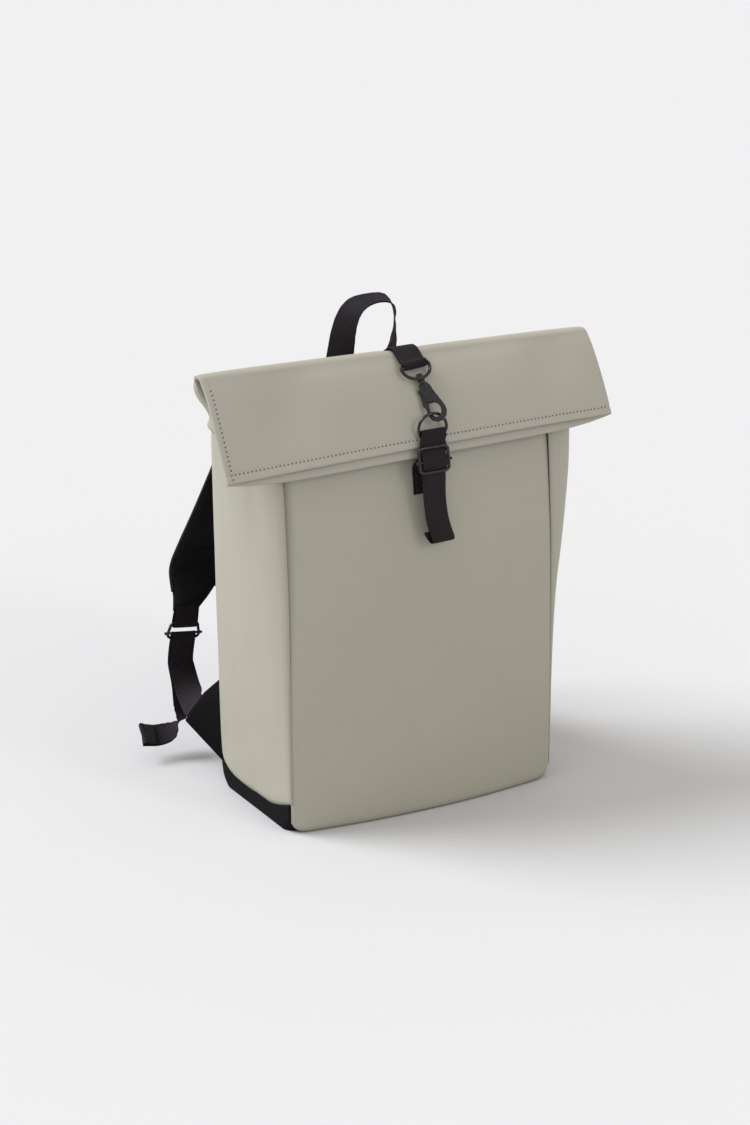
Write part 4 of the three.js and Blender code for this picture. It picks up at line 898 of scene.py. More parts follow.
class NodeTree:
    """Short-hand for building a node tree."""

    def __init__(self, tree: bpy.types.NodeTree) -> None:
        """Keeps the tree."""
        self.tree = tree

    def add(self, kind: str, **values: object) -> bpy.types.Node:
        """Adds a node and sets its properties."""
        node = self.tree.nodes.new(kind)
        for key, value in values.items():
            setattr(node, key, value)
        return node

    def join(self, source: bpy.types.NodeSocket, target: bpy.types.NodeSocket) -> None:
        """Links two sockets."""
        self.tree.links.new(source, target)

    def math(self, operation: str, a: object, b: object = 0.0, clamp: bool = False) -> bpy.types.NodeSocket:
        """Math node of two values or sockets."""
        node = self.add("ShaderNodeMath", operation=operation, use_clamp=clamp)
        for index, value in enumerate((a, b)):
            if isinstance(value, bpy.types.NodeSocket):
                self.join(value, node.inputs[index])
            else:
                node.inputs[index].default_value = value
        return node.outputs[0]

    def noise(self, vector: bpy.types.NodeSocket, scale: float, detail: float = 3.0,
              rough: float = 0.5) -> bpy.types.NodeSocket:
        """Noise texture's value."""
        node = self.add("ShaderNodeTexNoise")
        self.join(vector, node.inputs["Vector"])
        node.inputs["Scale"].default_value = scale
        node.inputs["Detail"].default_value = detail
        node.inputs["Roughness"].default_value = rough
        return node.outputs["Fac"]

    def mix(self, factor: bpy.types.NodeSocket, a: tuple[float, ...],
            b: tuple[float, ...]) -> bpy.types.NodeSocket:
        """Colour between two colours by a factor."""
        node = self.add("ShaderNodeMix", data_type="RGBA")
        self.join(factor, node.inputs[0])
        node.inputs[6].default_value = (*a, 1)
        node.inputs[7].default_value = (*b, 1)
        return node.outputs[2]


def group_of(name: str, inputs: Sequence[tuple[str, str, object]],
             outputs: Sequence[tuple[str, str]]) -> tuple[bpy.types.NodeTree, NodeTree, object, object]:
    """Starts a shader node group with named sockets.

    Args:
        name: the group's name.
        inputs: name, socket type and default of each input.
        outputs: name and socket type of each output.

    Returns:
        The group, its short-hand, and its input and output nodes.
    """
    tree = bpy.data.node_groups.new(name, "ShaderNodeTree")
    for label, kind, value in inputs:
        sock = tree.interface.new_socket(name=label, in_out="INPUT", socket_type=kind)
        if value is not None:
            sock.default_value = value
    for label, kind in outputs:
        tree.interface.new_socket(name=label, in_out="OUTPUT", socket_type=kind)
    kit = NodeTree(tree)
    return tree, kit, kit.add("NodeGroupInput"), kit.add("NodeGroupOutput")


def weave_group() -> bpy.types.NodeTree:
    """Woven threads: height and thread mask from a vector and two pitches in metres."""
    tree, kit, start, end = group_of(
        "Woven threads",
        (("Vector", "NodeSocketVector", None), ("Pitch across", "NodeSocketFloat", 0.002),
         ("Pitch along", "NodeSocketFloat", 0.001), ("Twill", "NodeSocketFloat", 0.0)),
        (("Height", "NodeSocketFloat"), ("Mask", "NodeSocketFloat")),
    )
    split = kit.add("ShaderNodeSeparateXYZ")
    kit.join(start.outputs["Vector"], split.inputs[0])
    u = kit.math("DIVIDE", split.outputs[0], start.outputs["Pitch across"])
    v = kit.math("DIVIDE", split.outputs[1], start.outputs["Pitch along"])
    column = kit.math("FLOOR", u)
    shift = kit.math("MULTIPLY", column, 0.5)
    twill = kit.math("MULTIPLY", u, start.outputs["Twill"])
    phase = kit.math("ADD", kit.math("ADD", v, shift), twill)
    warp = kit.math("ABSOLUTE", kit.math("SINE", kit.math("MULTIPLY", u, math.pi)))
    weft = kit.math("ABSOLUTE", kit.math("SINE", kit.math("MULTIPLY", phase, math.pi)))
    crest = kit.math("POWER", warp, 0.6)
    height = kit.math("MULTIPLY", crest, kit.math("ADD", kit.math("MULTIPLY", weft, 0.45), 0.55))
    kit.join(height, end.inputs["Height"])
    kit.join(kit.math("MULTIPLY", warp, weft), end.inputs["Mask"])
    return tree


def grain_group() -> bpy.types.NodeTree:
    """Fine grain of a coating: height, and slow cloudy variation."""
    tree, kit, start, end = group_of(
        "Coating grain",
        (("Vector", "NodeSocketVector", None), ("Grain", "NodeSocketFloat", 900.0),
         ("Cloud", "NodeSocketFloat", 7.0)),
        (("Height", "NodeSocketFloat"), ("Cloud", "NodeSocketFloat")),
    )
    fine = kit.add("ShaderNodeTexNoise")
    kit.join(start.outputs["Vector"], fine.inputs["Vector"])
    kit.join(start.outputs["Grain"], fine.inputs["Scale"])
    fine.inputs["Detail"].default_value = 2
    cloud = kit.add("ShaderNodeTexNoise")
    kit.join(start.outputs["Vector"], cloud.inputs["Vector"])
    kit.join(start.outputs["Cloud"], cloud.inputs["Scale"])
    cloud.inputs["Detail"].default_value = 4
    kit.join(fine.outputs["Fac"], end.inputs["Height"])
    kit.join(cloud.outputs["Fac"], end.inputs["Cloud"])
    return tree


class Finishes:
    """Every material of the backpack, built once."""

    def __init__(self) -> None:
        """Builds the shared groups and the materials."""
        self.weave = weave_group()
        self.grain = grain_group()
        self.coat = self.coated("Coated cloth", (0.336, 0.320, 0.256), (0.374, 0.357, 0.292))
        # the second colour of each woven finish is the painted highlight on its thread crests, the first the
        # painted shade between threads
        self.nylon = self.woven("Black nylon", (0.0022, 0.0022, 0.0025), (0.0085, 0.008, 0.0085),
                                0.0009, 0.0009, 0.82)
        self.pad_cloth = self.woven("Black pad cloth", (0.004, 0.004, 0.004), (0.014, 0.014, 0.014),
                                    0.0012, 0.0008, 0.75)
        self.mesh = self.spacer("Black spacer mesh")
        self.webbing = self.woven("Black webbing", (0.003, 0.0026, 0.003), (0.044, 0.039, 0.041),
                                  0.0021, 0.0013, 0.72, 0.0003)
        self.metal = self.gunmetal("Dark metal")
        self.thread = self.plain_thread("Pale thread", (0.62, 0.6, 0.54))
        # needle holes: a darkened copy of the coated cloth's colour, painted shade in the holes
        self.hole_shade = self.plain_thread("Needle holes", (0.05, 0.047, 0.038))
        self.dark_thread = self.plain_thread("Black thread", (0.012, 0.012, 0.012))

    def start(self, name: str) -> tuple[bpy.types.Material, NodeTree, bpy.types.Node]:
        """New node material with its shader."""
        material = bpy.data.materials.new(name)
        material.use_nodes = True
        kit = NodeTree(material.node_tree)
        shader = next(n for n in material.node_tree.nodes if n.type == "BSDF_PRINCIPLED")
        return material, kit, shader

    def bumped(self, kit: NodeTree, shader: bpy.types.Node, height: bpy.types.NodeSocket,
               distance: float, strength: float = 1.0) -> None:
        """Sends a height to the shader's normal."""
        node = kit.add("ShaderNodeBump")
        node.inputs["Distance"].default_value = distance
        node.inputs["Strength"].default_value = strength
        kit.join(height, node.inputs["Height"])
        kit.join(node.outputs["Normal"], shader.inputs["Normal"])

    def coated(self, name: str, low: tuple[float, ...], high: tuple[float, ...],
               rough: float = 0.56) -> bpy.types.Material:
        """Smooth coated cloth with a fine grain and faint clouds."""
        material, kit, shader = self.start(name)
        place = kit.add("ShaderNodeTexCoord")
        grain = kit.add("ShaderNodeGroup", node_tree=self.grain)
        grain.inputs["Grain"].default_value = 1500
        grain.inputs["Cloud"].default_value = 6
        kit.join(place.outputs["Object"], grain.inputs["Vector"])
        kit.join(kit.mix(grain.outputs["Cloud"], low, high), shader.inputs["Base Color"])
        gloss = kit.math("ADD", kit.math("MULTIPLY", grain.outputs["Cloud"], 0.14), rough - 0.07)
        kit.join(gloss, shader.inputs["Roughness"])
        shader.inputs["Specular IOR Level"].default_value = 0.42
        self.bumped(kit, shader, grain.outputs["Height"], 0.00009, 0.5)
        return material

    def woven(self, name: str, low: tuple[float, ...], high: tuple[float, ...], across: float,
              along: float, rough: float, depth: float = 0.00012) -> bpy.types.Material:
        """Woven cloth or webbing, its threads laid along the piece's UV map; the thread crests are painted
        lighter than the gaps between them, a painted highlight with painted shade between the threads, its
        strength varied at random.
        """
        material, kit, shader = self.start(name)
        place = kit.add("ShaderNodeTexCoord")
        weave = kit.add("ShaderNodeGroup", node_tree=self.weave)
        weave.inputs["Pitch across"].default_value = across
        weave.inputs["Pitch along"].default_value = along
        kit.join(place.outputs["UV"], weave.inputs["Vector"])
        # patchy noise that varies how strongly the painted highlight on the crests shows
        patchy_noise = kit.noise(place.outputs["Object"], 40, 4)
        crest_highlight_strength = kit.math("ADD", kit.math("MULTIPLY", patchy_noise, 0.8), 0.35)
        tone = kit.math("MULTIPLY", weave.outputs["Mask"], crest_highlight_strength)
        # painted highlight on the thread crests and painted shade in the gaps: the thread mask mixes the dark
        # colour towards the light one
        kit.join(kit.mix(tone, low, high), shader.inputs["Base Color"])
        gloss = kit.math("SUBTRACT", rough + 0.12, kit.math("MULTIPLY", weave.outputs["Mask"], 0.2))
        kit.join(gloss, shader.inputs["Roughness"])
        shader.inputs["Specular IOR Level"].default_value = 0.11
        self.bumped(kit, shader, weave.outputs["Height"], depth, 0.9)
        return material

    def spacer(self, name: str) -> bpy.types.Material:
        """Airy mesh cloth of small rounded cells, the cells' holes painted darker as painted shade."""
        material, kit, shader = self.start(name)
        place = kit.add("ShaderNodeTexCoord")
        cells = kit.add("ShaderNodeTexVoronoi")
        cells.inputs["Scale"].default_value = 330
        cells.inputs["Randomness"].default_value = 0.25
        kit.join(place.outputs["Object"], cells.inputs["Vector"])
        hole_shade = kit.math("MULTIPLY", cells.outputs["Distance"], 1.6, clamp=True)
        # painted shade: the colour is darker at the cells' middles, where the mesh's holes are
        kit.join(kit.mix(hole_shade, (0.004, 0.004, 0.004), (0.026, 0.026, 0.028)), shader.inputs["Base Color"])
        shader.inputs["Roughness"].default_value = 0.85
        shader.inputs["Specular IOR Level"].default_value = 0.15
        self.bumped(kit, shader, hole_shade, 0.0004, 0.8)
        return material

    def gunmetal(self, name: str) -> bpy.types.Material:
        """Glossy near-black plated metal, rubbed a little in places."""
        material, kit, shader = self.start(name)
        place = kit.add("ShaderNodeTexCoord")
        rubbed = kit.noise(place.outputs["Object"], 260, 3)
        kit.join(kit.mix(rubbed, (0.006, 0.006, 0.0065), (0.02, 0.0195, 0.02)), shader.inputs["Base Color"])
        kit.join(kit.math("ADD", kit.math("MULTIPLY", rubbed, 0.12), 0.06), shader.inputs["Roughness"])
        shader.inputs["Metallic"].default_value = 0.1
        shader.inputs["Specular IOR Level"].default_value = 0.42
        self.bumped(kit, shader, kit.noise(place.outputs["Object"], 900, 2), 0.00002, 0.4)
        return material

    def plain_thread(self, name: str, tone: tuple[float, float, float]) -> bpy.types.Material:
        """Sewing thread with a faint twist."""
        material, kit, shader = self.start(name)
        place = kit.add("ShaderNodeTexCoord")
        twist = kit.noise(place.outputs["Object"], 2600, 2)
        dark = tuple(c * 0.72 for c in tone)
        kit.join(kit.mix(twist, dark, tone), shader.inputs["Base Color"])
        shader.inputs["Roughness"].default_value = 0.7
        self.bumped(kit, shader, twist, 0.00006, 0.6)
        return material


@dataclass
class Body:
    """The body's cloth walls, base and seams."""

    finishes: Finishes
    groove_low: float = 1.3
    groove_high: float = 5.4

    def groove(self, z: float, right: bool) -> float:
        """Depth of the groove beside the front panel, in mm."""
        rise = ease((z - (230 if right else 90)) / (160 if right else 250))
        low = self.groove_low * (0.4 if right else 1)
        return low + (self.groove_high * (0.75 if right else 1) - low) * rise

    def front_skin(self, u: float, v: float) -> Vector:
        """Point of the front panel's outer face."""
        half = BODY.panel_half
        x = (2 * u - 1) * half
        near = half - abs(x)
        turn = min(max((abs(x) - half + 16) / 16, 0), 0.985)
        low = 0.5 + 12.5 * (1 - math.sqrt(1 - turn * turn))
        z = low + (BODY.height - low) * v
        p = BODY.front_point(x, z)
        width = 2.0 + 3.4 * ease((z - 90) / 250)
        p.y += self.groove(z, x > 0) * math.exp(-((near / width) ** 2))
        p.y += 2.2 * math.exp(-(((z - low) / 3.0) ** 2))
        p.y -= 0.9 * noise.noise(Vector((x * 0.011, z * 0.008, 3.1)))
        return p

    def side_skin(self, side: int, u: float, v: float) -> Vector:
        """Point of a gusset's outer face."""
        depth = u
        low = BODY.edge(depth) + BODY.gap
        z = low + (BODY.height - low) * v
        p = BODY.side_point(side, depth, z)
        soft = 1 - (2 * depth - 1) ** 4
        dent = 2.6 * bump(depth, 0.22, 0.10) * bump(z, 325, 45)
        dent += 1.6 * bump(depth, 0.72, 0.16) * bump(z, 300, 70)
        p.x -= side * dent * soft
        p.x += side * 1.4 * soft * noise.noise(Vector((depth * 3.1, z * 0.012, 7 + side)))
        p.x -= side * 1.2 * math.exp(-((depth / 0.018) ** 2))
        p.x -= side * 1.2 * math.exp(-(((1 - depth) / 0.018) ** 2))
        p.x -= side * 1.0 * math.exp(-(((z - low) / 3.0) ** 2))
        return p

    def build(self) -> None:
        """Builds front, gussets, base and their stitches."""
        size = (2 * BODY.panel_half, BODY.height)
        bm = cloth_grid(120, 130, self.front_skin, size)
        turn = [e for e in bm.edges if e.is_boundary and abs(e.verts[0].co.x) > BODY.panel_half * MM - 1e-6
                and abs(e.verts[1].co.x) > BODY.panel_half * MM - 1e-6]
        for reach, drop in ((0.25, 1.2), (0.0, 5.0)):
            made = bmesh.ops.extrude_edge_only(bm, edges=turn)["geom"]
            for vert in (g for g in made if isinstance(g, bmesh.types.BMVert)):
                vert.co.x += math.copysign(reach * MM, vert.co.x)
                vert.co.y += drop * MM
            turn = [g for g in made if isinstance(g, bmesh.types.BMEdge)]
        thicken(bm, 1.7, Vector((0, 0.05, 0.18)))
        piece("coated_front", bm, self.finishes.coat, ("front_panel",))
        for side, word in ((-1, "left"), (1, "right")):
            bm = cloth_grid(64, 120, lambda u, v, s=side: self.side_skin(s, u, v), (BODY.depth, BODY.height))
            thicken(bm, 1.7, Vector((0, 0, 0.18)))
            piece(f"coated_gusset_{word}", bm, self.finishes.coat, (f"gusset_{word}",))
        self.build_base()
        self.build_seams()

    def base_skin(self, u: float, v: float) -> Vector:
        """Point of the tray's outer face: round the rim by u, down and under by v."""
        q = (u * 4) % 4
        side = 0
        if q < 1:
            side, depth = 1, q
        elif q < 2:
            depth, share = 1.0, 1 - 2 * (q - 1)
        elif q < 3:
            side, depth = -1, 3 - q
        else:
            depth, share = 0.0, -1 + 2 * (q - 3)
        edge = 3.0
        top = BODY.edge(max(depth, edge / BODY.depth))
        corner = BODY.cloth + 0.05 + BODY.corner * depth
        wall = 0.62
        fall = min(v / wall, 1)
        turn = max(v - wall, 0) / (1 - wall) * math.pi / 2
        z = max(top + (corner - top) * fall + (0.02 - corner) * math.sin(turn), 0.0)
        under = 1.6 * (1 - math.cos(turn))
        half = BODY.width / 2 - under
        front = BODY.front(z) + edge + 1.9 * (1 - ease(z / 9)) + under * 0.8
        back = BODY.back(z) - under
        if side:
            y = BODY.front(z) + (BODY.back(z) - BODY.front(z)) * depth
            puff = 0.36 * math.sin(math.pi * fall) * (1 - abs(2 * depth - 1) ** 6)
            return self.round_corner(Vector((side * (half + puff), min(max(y, front), back), z)), front)
        x = share * half
        if depth > 0.5:
            return Vector((x, back + 0.5 * math.sin(math.pi * fall), z))
        swell = BODY.at(5, z) * (1 - (x / (BODY.width / 2)) ** 2)
        return self.round_corner(Vector((x, front - swell, z)), front)

    def round_corner(self, p: Vector, front: float) -> Vector:
        """Rounds the tray's front corners in plan, most at the floor.

        Args:
            p: a point of the tray.
            front: the front wall's place at that height.

        Returns:
            The point, moved inward where it lies in a corner.
        """
        radius = 15.0 * (1 - ease(p.z / 16)) + 0.5
        across = abs(p.x) - (BODY.width / 2 - radius)
        ahead = front + radius - p.y
        reach = math.hypot(across, ahead)
        if across > 0 and ahead > 0 and reach > radius:
            p.x -= math.copysign(across * (1 - radius / reach), p.x)
            p.y += ahead * (1 - radius / reach)
        return p

    def build_base(self) -> None:
        """Builds the black tray."""
        bm = cloth_grid(192, 22, self.base_skin, (840, 34), weld=True)
        rim = [e for e in bm.edges if e.is_boundary and all(v.co.z < 0.001 for v in e.verts)]
        bmesh.ops.edgeloop_fill(bm, edges=rim)
        floor = [f for f in bm.faces if len(f.verts) > 6]
        bmesh.ops.inset_region(bm, faces=floor, thickness=0.012, use_even_offset=True)
        thicken(bm, 1.6, Vector((0, 0, 0.05)))
        for vert in bm.verts:
            vert.co.z = max(vert.co.z, 0.0)
        piece("nylon_base", bm, self.finishes.nylon, ("base_panel",))

    def build_seams(self) -> None:
        """Stitch rows beside the front panel and along the base."""
        rows: list[StitchRow] = []
        for side in (-1, 1):
            def beside(t: float, s: int = side) -> tuple[Vector, Vector]:
                """Line on the gusset just behind the front seam."""
                z = 32 + (BODY.height - 44) * t
                p = BODY.side_point(s, 0.028, z)
                return p + Vector((s * -0.55, 0, 0)), Vector((s, 0, 0))

            rows.append(StitchRow(beside, BODY.height - 44, pitch=3.4, stitch=2.4, thread=0.4))

            def low(t: float, s: int = side) -> tuple[Vector, Vector]:
                """Line on the gusset above the base's rim."""
                depth = 0.05 + 0.9 * t
                p = BODY.side_point(s, depth, BODY.edge(depth) + 3.2)
                return p + Vector((s * -0.2, 0, 0)), Vector((s, 0, 0))

            rows.append(StitchRow(low, BODY.depth * 0.92, pitch=3.2, stitch=2.3, thread=0.45))
        stitch_piece("stitches_body", rows, self.finishes.thread, self.finishes.hole_shade)


@dataclass
class Roll:
    """The rolled mouth with its hems."""

    finishes: Finishes
    strap_x: float = 5.0
    hem: float = 7.5
    belly: float = 2.6

    def skin(self, s: float, q: float, inset: float = 0.0) -> Vector:
        """Point of the skin with its soft dents and the press of the strap."""
        p = ROLL.point(s, q, inset)
        q = q % 4
        outer = 2 <= q <= 3 or (1.5 < q < 2) or (3 < q < 3.5)
        soft = 0.0
        if s > 1.9:
            t = s - 2
            soft -= 5.0 * bump(p.x, -128, 28) * bump(t, 0.42, 0.34)
            soft += 1.8 * bump(p.x, -75, 34) * bump(t, 0.3, 0.3)
            soft -= 3.2 * bump(p.x, 150, 24) * bump(t, 0.3, 0.3)
            soft += 1.0 * bump(p.x, 95, 40) * bump(t, 0.45, 0.35)
            soft += 1.1 * noise.noise(Vector((p.x * 0.013, t * 1.3, 11.0))) * (1 - 0.6 * t)
            soft += self.belly * math.sin(math.pi * min(max(t, 0.0), 1.0) ** 0.8)
            soft *= ease((s - 1.9) / 0.25)
            if outer:
                soft -= 0.55 * bump((1 - t) * ROLL.flap_length, self.hem, 1.3)
                near = ROLL.width / 2 - abs(p.x)
                if p.x < 0:
                    soft -= 0.5 * bump(near, 5.6, 1.2)
            p += ROLL.out * soft
        elif s < 1:
            soft = 2.2 * noise.noise(Vector((p.x * 0.012, s * 2.4, 5.0))) * math.sin(math.pi * s)
            p.y += soft
        press = 2.4 * bump(p.x, self.strap_x, 15) * bump(s, 1.45, 0.75)
        axis = Vector((p.x, ROLL.fold_y, ROLL.fold_z))
        if 0.7 < s < 2.3 and (p - axis).length > 1:
            p -= (p - axis).normalized() * min(press, 2.4)
        return p

    def build(self) -> None:
        """Builds the tube and its stitch rows."""
        marks = [i / 26 for i in range(26)] + [1 + i / 14 for i in range(14)]
        marks += [2 + i / 46 for i in range(47)]

        def place(u: float, v: float) -> Vector:
            """Point by shares round and along the tube."""
            k = v * (len(marks) - 1)
            i = min(int(k + 1e-6), len(marks) - 2)
            s = marks[i] + (marks[i + 1] - marks[i]) * (k - i)
            return self.skin(s, u * 4)

        bm = cloth_grid(236, len(marks) - 1, place, (760, 200), weld=True)
        tidy_normals(bm)
        back = [f for f in bm.faces if f.calc_center_median().y > 0.03]
        if sum(f.normal.y for f in back) < 0:
            bmesh.ops.reverse_faces(bm, faces=bm.faces)
        bmesh.ops.solidify(bm, geom=list(bm.faces), thickness=1.7 * MM)
        piece("coated_roll", bm, self.finishes.coat, ("roll_top",))
        self.build_stitches()

    def on_back(self, x: float, s: float, out: float) -> Vector:
        """Point over the flap's outer skin."""
        half = BODY.width / 2
        if abs(x) <= half:
            q = 2 + (half - x) / (2 * half)
        else:
            row = ROLL.row(s)
            bulge = row["right" if x > 0 else "left"]
            b = min((abs(x) - half) / bulge, 0.9999)
            c = 0.5 * (1 - (1 - b) ** (1 / 2.6))
            q = 2 - c if x > 0 else 3 + c
        return self.skin(s, q) + ROLL.out * out

    def build_stitches(self) -> None:
        """Rows along the outer hem, the lip's hem and the left edge."""
        up = ROLL.out

        def hem(t: float) -> tuple[Vector, Vector]:
            """Row above the outer hem."""
            x = -194 + 388 * t
            return self.on_back(x, 3 - self.hem / ROLL.flap_length, 0.3), up

        def left(t: float) -> tuple[Vector, Vector]:
            """Row inside the left edge."""
            s = 2.06 + 0.9 * t
            x = -(BODY.width / 2 + ROLL.row(s)["left"]) + 5.6
            return self.on_back(x, s, 0.3), up

        def lip(t: float) -> tuple[Vector, Vector]:
            """Row on the lip, close under the outer hem."""
            x = -136 + 272 * t
            return self.skin(2.952, (x + 140) / 280, 1.7) + ROLL.out * 0.2, up

        lines = ((hem, 388), (left, 80), (lip, 272))
        rows = [StitchRow(line, length, 3.9, 2.3, 0.85) for line, length in lines]
        stitch_piece("stitches_roll", rows, self.finishes.thread, self.finishes.hole_shade)


def wire_loop(outline: Sequence[Vector], diameter: float, frame_: Matrix,
              sides: int = 16) -> bmesh.types.BMesh:
    """Round wire along a closed flat outline.

    Args:
        outline: points in mm in the frame's own X and Y.
        diameter: of the wire in mm.
        frame_: place and turn of the wire.
        sides: sides of its section.

    Returns:
        The closed wire in metres.
    """
    bm = bmesh.new()
    count = len(outline)
    rings = []
    for i, at in enumerate(outline):
        ahead = (outline[(i + 1) % count] - outline[i - 1]).normalized()
        across = Vector((0, 0, 1)).cross(ahead).normalized()
        turn = Matrix((across, Vector((0, 0, 1)), ahead)).transposed().to_4x4()
        made = bmesh.ops.create_circle(bm, segments=sides, radius=diameter / 2,
                                       matrix=Matrix.Translation(at) @ turn)
        rings.append([e for v in made["verts"] for e in v.link_edges])
    for i in range(count):
        edges = list(dict.fromkeys(rings[i] + rings[(i + 1) % count]))
        bmesh.ops.bridge_loops(bm, edges=edges)
    bmesh.ops.transform(bm, matrix=Matrix.Scale(MM, 4) @ frame_, verts=bm.verts)
    tidy_normals(bm)
    return bm


def rounded(width: float, height: float, radius: float, top: float, steps: int = 6) -> list[Vector]:
    """Rounded outline that may be narrower at its top, from its lower right corner round."""
    w, t, h = width / 2, top / 2, height / 2
    corners = ((w, -h, -90), (t, h, 0), (-t, h, 90), (-w, -h, 180))
    out: list[Vector] = []
    for x, y, start in corners:
        cx, cy = x - math.copysign(radius, x), y - math.copysign(radius, y)
        for k in range(steps + 1):
            a = math.radians(start + 90 * k / steps)
            out.append(Vector((cx + radius * math.cos(a), cy + radius * math.sin(a), 0)))
    dense: list[Vector] = []
    for a, b in zip(out, out[1:] + out[:1]):
        dense.append(a)
        if (b - a).length > 5:
            dense.extend(a.lerp(b, k / 4) for k in range(1, 4))
    return dense


def bar(bm: bmesh.types.BMesh, frame_: Matrix, length: float, diameter: float, y: float) -> None:
    """Adds a round bar across a slider."""
    place = frame_ @ Matrix.Translation((0, y, 0)) @ Matrix.Rotation(math.pi / 2, 4, "Y")
    bmesh.ops.create_cone(bm, cap_ends=True, segments=16, radius1=diameter / 2, radius2=diameter / 2,
                          depth=length, matrix=Matrix.Scale(MM, 4) @ place)


@dataclass
class Hardware:
    """Hook, ring and sliders."""

    finishes: Finishes
    wire: float = 2.9
    ring_wire: float = 2.8

    def from_node(self, node: str, name: str, body: str) -> None:
        """Rounded copy of a solid whose form is right."""
        bm = bmesh.new()
        bm.from_mesh(frame["nodes"][node].data)
        bmesh.ops.remove_doubles(bm, verts=bm.verts, dist=1e-6)
        bmesh.ops.dissolve_limit(bm, angle_limit=math.radians(2), verts=bm.verts, edges=bm.edges)
        sharp = [e for e in bm.edges if e.is_manifold and e.calc_face_angle(0) > math.radians(28)]
        bmesh.ops.bevel(bm, geom=sharp, offset=0.28 * MM, segments=2, profile=0.5, affect="EDGES",
                        material=-1, clamp_overlap=True)
        bmesh.ops.triangulate(bm, faces=[f for f in bm.faces if len(f.verts) > 4])
        piece(name, bm, self.finishes.metal, (node,), body)

    def build(self) -> None:
        """Builds every metal piece."""
        self.from_node("snap_hook", "hook_body", "bag")
        self.from_node("hook_gate", "hook_lever", "gate")
        self.from_node("hook_loop", "hook_swivel", "bag")
        frame_ = LAYOUT.ring_frame
        r = 13 + self.ring_wire / 2
        points = [Vector((r - 2.5 + 2.5 * math.sin(a), 2.5 - 2.5 * math.cos(a), 0)) for a in
                  (math.radians(x) for x in range(0, 90, 15))]
        points += [Vector((r * math.cos(a), 4 + r * 0.93 * math.sin(a), 0)) for a in
                   (math.radians(x) for x in range(0, 181, 6))]
        points += [Vector((-p.x, p.y, 0)) for p in reversed(points[:6])]
        points += [Vector((x, 0, 0)) for x in (-8, -4, 0, 4, 8)]
        bm = wire_loop(points, self.ring_wire, frame_)
        piece("ring", bm, self.finishes.metal, ("d_ring",))
        self.slider("closure_slider", LAYOUT.slider_frame, 30.1, 22.5, 30.1, -0.06, "slider_front")
        for side, word in ((-1, "left"), (1, "right")):
            frame_ = LAYOUT.strap_slider_frame(side)
            self.slider(f"strap_slider_{word}", frame_, 33.8, 15.0, 29.8, -0.2, f"slider_{word}")

    def slider(self, node: str, frame_: Matrix, width: float, height: float, top: float, share: float,
               name: str) -> None:
        """Rounded frame of wire with a middle bar whose ends stand out as pegs."""
        bm = wire_loop(rounded(width, height, 4, top), self.wire, frame_)
        bar(bm, frame_, width + self.wire * 1.5, self.wire * 0.84, share * height)
        for end in (-1, 1):
            place = frame_ @ Matrix.Translation((end * (width / 2 + self.wire * 0.75), share * height, 0))
            bmesh.ops.create_uvsphere(bm, u_segments=14, v_segments=9, radius=self.wire * 0.52,
                                      matrix=Matrix.Scale(MM, 4) @ place)
        piece(name, bm, self.finishes.metal, (node,))


